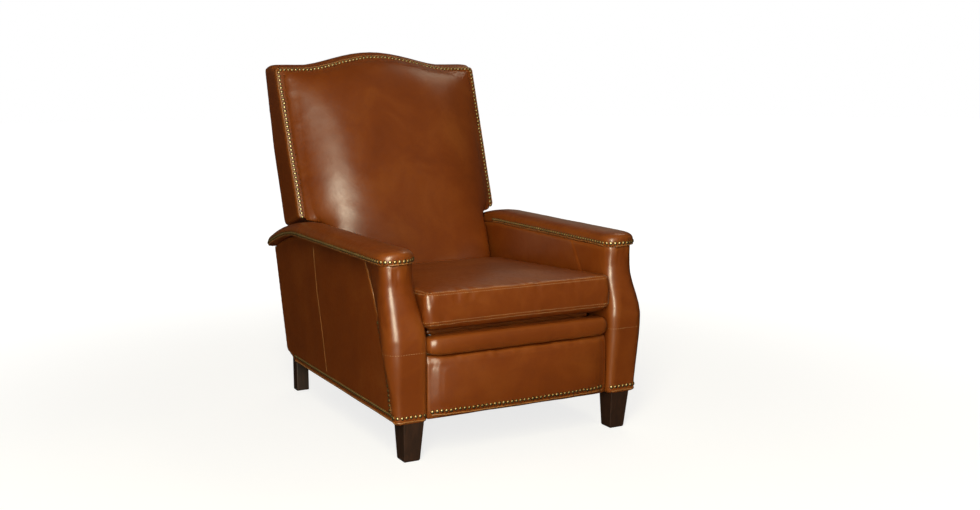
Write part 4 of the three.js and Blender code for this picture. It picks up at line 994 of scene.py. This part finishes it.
class RECLINER_OT_back(bpy.types.Operator):
    """The crowned back pad, the wings, the camel top and the outside back"""

    bl_idname = "recliner.back"
    bl_label = "Back"

    def execute(self, context):
        leather, _, _ = settings()
        pad = upholstered("back_pad_leather", ["back_pad"], 7 * MM, 5)
        plane = np.array(on_back(0, 0, 0))
        out = np.array((0, -math.cos(RAKE), math.sin(RAKE)))

        def border(co):
            return (co - plane) @ out < 8 * MM

        self.settle(pad)
        plumped(pad, border, 9 * MM, 60)
        refine(pad)
        # Its face is one even crown
        co = points_of(pad.data)
        face = np.clip(((co - plane) @ out - 14 * MM) / (14 * MM), 0, 1)[:, None]
        set_points(pad.data, co + face * (averages(pad.data, co, 240) - co))
        gather(pad, [back_edge_line(16, 10)], leather.gather * 0.8, 36 * MM, 40 * MM, 6)
        rumple(pad, leather.rumple * 1.6, 0.16, 8)
        dress(pad, "back", ["back_pad"])
        under = ["left_back_wing", "right_back_wing", "back_crest"]
        uneven = (leather.rumple * 0.6, 0.12, 11)
        covered("back_box_leather", "back", under, 5 * MM, shape=self.lower_corner, uneven=uneven)
        cover = new_piece("outside_back_leather", cad_copy("back_cover"))
        add_modifier(cover, "SUBSURF", levels=2, render_levels=2, subdivision_type="SIMPLE")
        add_modifier(cover, "SMOOTH", factor=0.5, iterations=4)
        bake_modifiers(cover)
        rumple(cover, leather.rumple, 0.2, 14)
        dress(cover, "back", ["back_cover"])
        return {"FINISHED"}

    @staticmethod
    def settle(pad):
        """Lets the part of the pad that lies over the arms down on to them."""
        co = points_of(pad.data)
        ear_start, ear_level, drop = 266, 588, 22
        over = np.clip((np.abs(co[:, 0]) / MM - ear_start) / 16, 0, 1)
        near = np.clip(1 - np.abs(co[:, 2] / MM - ear_level) / 65, 0, 1)
        co[:, 2] -= drop * MM * over * near
        set_points(pad.data, co)

    @staticmethod
    def lower_corner(piece):
        """Draws the front lower corner of each wing down towards its arm. Much more than this and
        the corner cuts into the arm cap when the back reclines."""
        drop = 3 * MM
        co = points_of(piece.data)
        front, foot = place(0, BACK_Y, BACK_Z)[1:]
        back = np.clip((co[:, 1] - front) / (160 * MM), 0, 1)
        up = np.clip((co[:, 2] - foot + 45 * MM * back) / (70 * MM), 0, 1)
        co[:, 2] -= drop * (1 - back) * (1 - up) ** 2
        set_points(piece.data, co)


class RECLINER_OT_footrest(bpy.types.Operator):
    """The footrest's main pad and its roll"""

    bl_idname = "recliner.footrest"
    bl_label = "Footrest"

    def execute(self, context):
        leather, _, _ = settings()
        pad = upholstered("footrest_pad_leather", ["footrest_pad"], 4.5 * MM)
        low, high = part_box("footrest_pad")
        gather(pad, [[Vector((x, low.y, high.z)) for x in (low.x, high.x)]], leather.gather, 30 * MM, 30 * MM, 1)
        # Its front is one even crown
        co = points_of(pad.data)
        even = averages(pad.data, co[:, 1], 120)[:, 0] - co[:, 1]
        inside = np.clip(np.minimum(co[:, 2] - low.z, high.z - co[:, 2]) / (30 * MM), 0, 1)
        crown = FOOT_CROWN * (1 - np.abs(co[:, 0] / high.x).clip(0, 1) ** 2.5)
        co[:, 1] += (inside * even - crown) * np.clip((low.y + 20 * MM - co[:, 1]) / (6 * MM), 0, 1)
        set_points(pad.data, co)
        let_down(pad)
        rumple(pad, leather.rumple, 0.1, 15)
        dress(pad, "footrest", ["footrest_pad"])
        uneven = (leather.rumple, 0.08, 16)
        covered("footrest_roll_leather", "footrest", ["footrest_roll"], 4 * MM, 4, uneven=uneven)
        return {"FINISHED"}


def foot_lines(sign, z):
    """Along the lower edge of a side, from the rear round the post's front to its inner edge."""
    side = [place(sign * (PANEL_X + 15), y, z) for y in range(316, -452, -8)]
    ring = [(388, -452), (404, -490), (380, -525), (340, -535), (300, -530), (286, -520)]
    post = rounded(densely([place(sign * x, y, z) for x, y in ring]), 6)
    return [side, post]


class RECLINER_OT_nails(bpy.types.Operator):
    """Rows of domed brass nails along the arm caps, side seams, lower edges and back"""

    bl_idname = "recliner.nails"
    bl_label = "Nails"

    def execute(self, context):
        _, trim, _ = settings()
        sizes = {"Pitch": trim.pitch, "Head": trim.head, "Dome": trim.dome}
        runs = []
        for side, sign in SIDES.items():
            cap = trees_of(f"{side}_cap_leather")
            runs.append(laid_on(cap_line(sign, 9, out=6), cap, NAIL_SINK))
            sides = trees_of(f"{side}_panel_leather", f"{side}_arm_leather")
            seam = [place(sign * 380, trim_y(z) + 9, z) for z in range(140, 368, 8)]
            runs.append(laid_on(seam, sides, NAIL_SINK))
            runs += [laid_on(line, sides, NAIL_SINK) for line in foot_lines(sign, NAIL_LEVEL)]
        grown("nails_base", "nails", runs, "base", "brass", **sizes)
        foot = [place(x, FOOT_FRONT, NAIL_LEVEL) for x in range(-FOOT_HALF, FOOT_HALF + 1, 6)]
        runs = [laid_on(foot, trees_of("footrest_pad_leather"), NAIL_SINK)]
        grown("nails_footrest", "nails", runs, "footrest", "brass", **sizes)
        box = trees_of("back_box_leather")
        runs = [laid_on(rounded(back_edge_line(9, 8), 3), box, NAIL_SINK)]
        grown("nails_back", "nails", runs, "back", "brass", **sizes)
        return {"FINISHED"}


class RECLINER_OT_seams(bpy.types.Operator):
    """Welts, sewn seams and their stitches"""

    bl_idname = "recliner.seams"
    bl_label = "Seams"

    def execute(self, context):
        _, trim, _ = settings()
        sizes = {"Pitch": trim.stitch, "Length": trim.stitch * 0.86, "Thread": trim.thread}
        welts, rows = [], []
        for side, sign in SIDES.items():
            sides = trees_of(f"{side}_panel_leather", f"{side}_arm_leather")
            seam = [place(sign * 376, trim_y(z), z) for z in range(118, 526, 8)]
            welts.append(laid_on(seam, sides, WELT_SINK))
            welts += [laid_on(line, sides, WELT_SINK) for line in foot_lines(sign, WELT_LEVEL)]
            cap = trees_of(f"{side}_cap_leather")
            welts.append(laid_on(cap_line(sign, 1, out=1), cap, WELT_SINK))
            slant = densely([place(sign * 380, y, z) for y, z in [(117, 506), (92, 378), (57, 261), (24, 140)]])
            welts.append(laid_on(slant, sides, SLANT_SINK))
            ring = [(374, -452), (396, -470), (398, -500), (380, -528), (340, -538), (300, -530), (286, -500)]
            line = rounded(densely([place(sign * x, y, BAND_LEVEL) for x, y in ring]), 6)
            rows.append(laid_on(line, sides, WELT_SINK))
        grown("welts_base", "welt", welts, "base", "welt", Radius=trim.welt)
        grown("stitches_base", "stitches", rows, "base", "thread", **sizes)
        foot = [place(x, FOOT_FRONT, WELT_LEVEL) for x in range(-FOOT_HALF - 1, FOOT_HALF + 2, 6)]
        welt = laid_on(foot, trees_of("footrest_pad_leather"), WELT_SINK)
        grown("welt_footrest", "welt", [welt], "footrest", "welt", Radius=trim.welt)
        cushion = trees_of("seat_cushion_leather")
        heights = [-5, 5, SEAT_BOXING - 5, SEAT_BOXING + 6]
        rows = [laid_on(RECLINER_OT_seat_cushion.seam(h), cushion, 0) for h in heights]
        grown("stitches_seat", "stitches", rows, "seat", "thread", **sizes)
        box = trees_of("back_box_leather")
        rim = laid_on(rounded(back_edge_line(1, -1), 3), box, RIM_SINK)
        grown("welt_back", "welt", [rim], "back", "welt", Radius=trim.welt)
        return {"FINISHED"}


class RECLINER_OT_frame_finishes(bpy.types.Operator):
    """Finishes of the legs and of the hidden frame and mechanism"""

    bl_idname = "recliner.frame_finishes"
    bl_label = "Frame finishes"

    def execute(self, context):
        kinds = {
            "wood_dark": "espresso",
            "wood_plain": "hardwood",
            "plywood": "plywood",
            "zinc_steel": "zinc",
            "spring_steel": "wire",
            "foam": "felt",
            "webbing": "webbing",
            "leather": "leather",
        }
        slots = {part["node"]: part["material_slot"] for part in frame["record"]["subparts"]}
        for name, node in frame["nodes"].items():
            node.data.materials.clear()
            node.data.materials.append(material_for(kinds[slots[name]]))
        for side in SIDES:
            for where in ("front", "rear"):
                leg = new_piece(f"{side}_{where}_leg_lacquered", cad_copy(f"{side}_{where}_leg"))
                add_modifier(leg, "BEVEL", width=2 * MM, segments=3, limit_method="ANGLE")
                bake_modifiers(leg)
                leg.data.materials.append(material_for("espresso"))
                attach(leg, "base")
                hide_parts(f"{side}_{where}_leg")
        return {"FINISHED"}


class RECLINER_OT_stage(bpy.types.Operator):
    """The camera, the floor and the studio lights"""

    bl_idname = "recliner.stage"
    bl_label = "Stage"

    def execute(self, context):
        _, _, stage = settings()
        scene = context.scene
        self.camera(scene, stage)
        self.floor()
        # A tall softbox left of the camera, which draws the streaks, and a soft light behind
        self.light("tall_softbox", scene, stage.key, (-29, 3.0), (0.15, 3.2), 0.7)
        streak = self.light("streak", scene, stage.key * 4.6, (-29, 3.95), (0.3, 2.95), 1.2)
        streak.visible_diffuse = False
        rear = self.light("rear_softbox", scene, stage.fill, (152, 3.6), (2.2, 4.2), 2.2)
        rear.visible_glossy = False
        # A faint card behind on the right, for the sheen on what faces up
        card = self.light("rear_card", scene, stage.fill * 0.15, (140, 3.6), (0.5, 3.2), 1.3)
        card.visible_diffuse = False
        self.light("overhead", scene, stage.fill * 0.6, (105, 1.7), (2.6, 3.2), 1.2)
        world = bpy.data.worlds.new("Studio")
        scene.world = world
        world.use_nodes = True
        tree = world.node_tree
        tree.nodes.clear()
        glossy = add_node(tree, "ShaderNodeLightPath").outputs["Is Glossy Ray"]
        level = maths(tree, "MULTIPLY_ADD", glossy, -0.13, 0.17)
        soft = add_node(tree, "ShaderNodeBackground", inputs={"Color": painted("#F6F2EA"), "Strength": level})
        white = add_node(tree, "ShaderNodeBackground", inputs={"Color": (1, 1, 1, 1), "Strength": 1.0})
        shown = self.either(tree, self.seen_share(tree), soft.outputs["Background"], white.outputs["Background"])
        add_node(tree, "ShaderNodeOutputWorld", inputs={"Surface": shown})
        scene.view_settings.view_transform = "Standard"
        return {"FINISHED"}

    @staticmethod
    def either(tree, share, one, other):
        return add_node(tree, "ShaderNodeMixShader", inputs={0: share, 1: one, 2: other}).outputs["Shader"]

    @staticmethod
    def seen_share(tree):
        """How much of the white backdrop a ray sees: all from the camera, none in a reflection."""
        rays = add_node(tree, "ShaderNodeLightPath").outputs
        return maths(tree, "MAXIMUM", rays["Is Camera Ray"], rays["Is Transmission Ray"])

    @staticmethod
    def camera(scene, stage):
        lens = bpy.data.cameras.new("Camera")
        lens.sensor_width = SENSOR
        lens.lens = SENSOR * stage.focal / PICTURE_WIDTH
        lens.clip_end = 60
        eye = bpy.data.objects.new("Camera", lens)
        scene.collection.objects.link(eye)
        yaw, fall, roll = stage.yaw, stage.pitch, stage.roll
        ahead = Vector((math.sin(yaw) * math.cos(fall), math.cos(yaw) * math.cos(fall), -math.sin(fall)))
        level = Vector((math.cos(yaw), -math.sin(yaw), 0))
        above = level.cross(ahead)
        right = level * math.cos(roll) + above * math.sin(roll)
        upright = right.cross(ahead)
        turn = Matrix((right, upright, -ahead)).transposed().to_4x4()
        eye.matrix_world = Matrix.Translation(place(*EYE)) @ turn
        scene.camera = eye

    @staticmethod
    def light(name, scene, power, spot, heights, width):
        """An upright softbox at a turn from the chair's front and a distance, between two heights."""
        lamp = bpy.data.lights.new(name, "AREA")
        lamp.shape = "RECTANGLE"
        lamp.size, lamp.size_y = width, heights[1] - heights[0]
        lamp.energy = power
        lamp.color = linear("#FFF9DC")
        holder = bpy.data.objects.new(name, lamp)
        scene.collection.objects.link(holder)
        turn, far = math.radians(spot[0]), spot[1]
        middle = Vector((far * math.sin(turn), -far * math.cos(turn), sum(heights) / 2))
        aim = Vector((0, 0, 0.55)) - middle
        holder.matrix_world = Matrix.Translation(middle) @ aim.to_track_quat("-Z", "Y").to_matrix().to_4x4()
        holder.visible_camera = False
        return holder

    @classmethod
    def floor(cls):
        shape = bmesh.new()
        bmesh.ops.create_circle(shape, cap_ends=True, segments=96, radius=24)
        floor = new_piece("studio_floor", shape)
        material, tree, coords = new_material("Pale_painted_floor")
        matt = add_node(tree, "ShaderNodeBsdfDiffuse", inputs={"Color": painted("#9C9A96")}).outputs["BSDF"]
        # Away from the chair the floor runs into the white of the backdrop
        far = add_node(tree, "ShaderNodeVectorMath", {"operation": "LENGTH"}, {0: coords}).outputs["Value"]
        lift = mapped(tree, far, 0.8, 2.8, 0.78, 1.0, "SMOOTHSTEP")
        glow = add_node(tree, "ShaderNodeEmission", inputs={"Color": (1, 1, 1, 1), "Strength": lift})
        both = add_node(tree, "ShaderNodeAddShader", inputs={0: matt, 1: glow.outputs["Emission"]})
        lit = cls.either(tree, cls.seen_share(tree), matt, both.outputs["Shader"])
        # Leather mirrors little of it
        dim = add_node(tree, "ShaderNodeBsdfDiffuse", inputs={"Color": painted("#2A2826")}).outputs["BSDF"]
        glossy = add_node(tree, "ShaderNodeLightPath").outputs["Is Glossy Ray"]
        add_node(tree, "ShaderNodeOutputMaterial", inputs={"Surface": cls.either(tree, glossy, lit, dim)})
        floor.data.materials.append(material)
        floor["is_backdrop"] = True


class RECLINER_PT_panel(bpy.types.Panel):
    """The recliner's settings and steps"""

    bl_idname = "RECLINER_PT_panel"
    bl_label = "Recliner"
    bl_space_type = "VIEW_3D"
    bl_region_type = "UI"
    bl_category = "Recliner"

    def draw(self, context):
        for group in settings():
            box = self.layout.box()
            for name in group.__annotations__:
                box.prop(group, name)
        for operator in OPERATORS:
            self.layout.operator(operator.bl_idname)


GROUPS = {
    "recliner_leather": ReclinerLeather,
    "recliner_trim": ReclinerTrim,
    "recliner_stage": ReclinerStage,
}
OPERATORS = (
    RECLINER_OT_stage,
    RECLINER_OT_frame_finishes,
    RECLINER_OT_arms,
    RECLINER_OT_seat_cushion,
    RECLINER_OT_back,
    RECLINER_OT_footrest,
    RECLINER_OT_nails,
    RECLINER_OT_seams,
)


def register():
    for name, group in GROUPS.items():
        bpy.utils.register_class(group)
        setattr(bpy.types.Scene, name, bpy.props.PointerProperty(type=group))
    for cls in (*OPERATORS, RECLINER_PT_panel):
        bpy.utils.register_class(cls)


def unregister():
    for cls in reversed((*OPERATORS, RECLINER_PT_panel)):
        bpy.utils.unregister_class(cls)
    for name, group in GROUPS.items():
        delattr(bpy.types.Scene, name)
        bpy.utils.unregister_class(group)


def corners():
    return [list(corner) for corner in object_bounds()]


def main():
    register()
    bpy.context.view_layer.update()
    for operator in OPERATORS:
        getattr(bpy.ops.recliner, operator.bl_idname.split(".")[1])()
    bpy.context.view_layer.update()


if __name__ == "__main__":
    main()
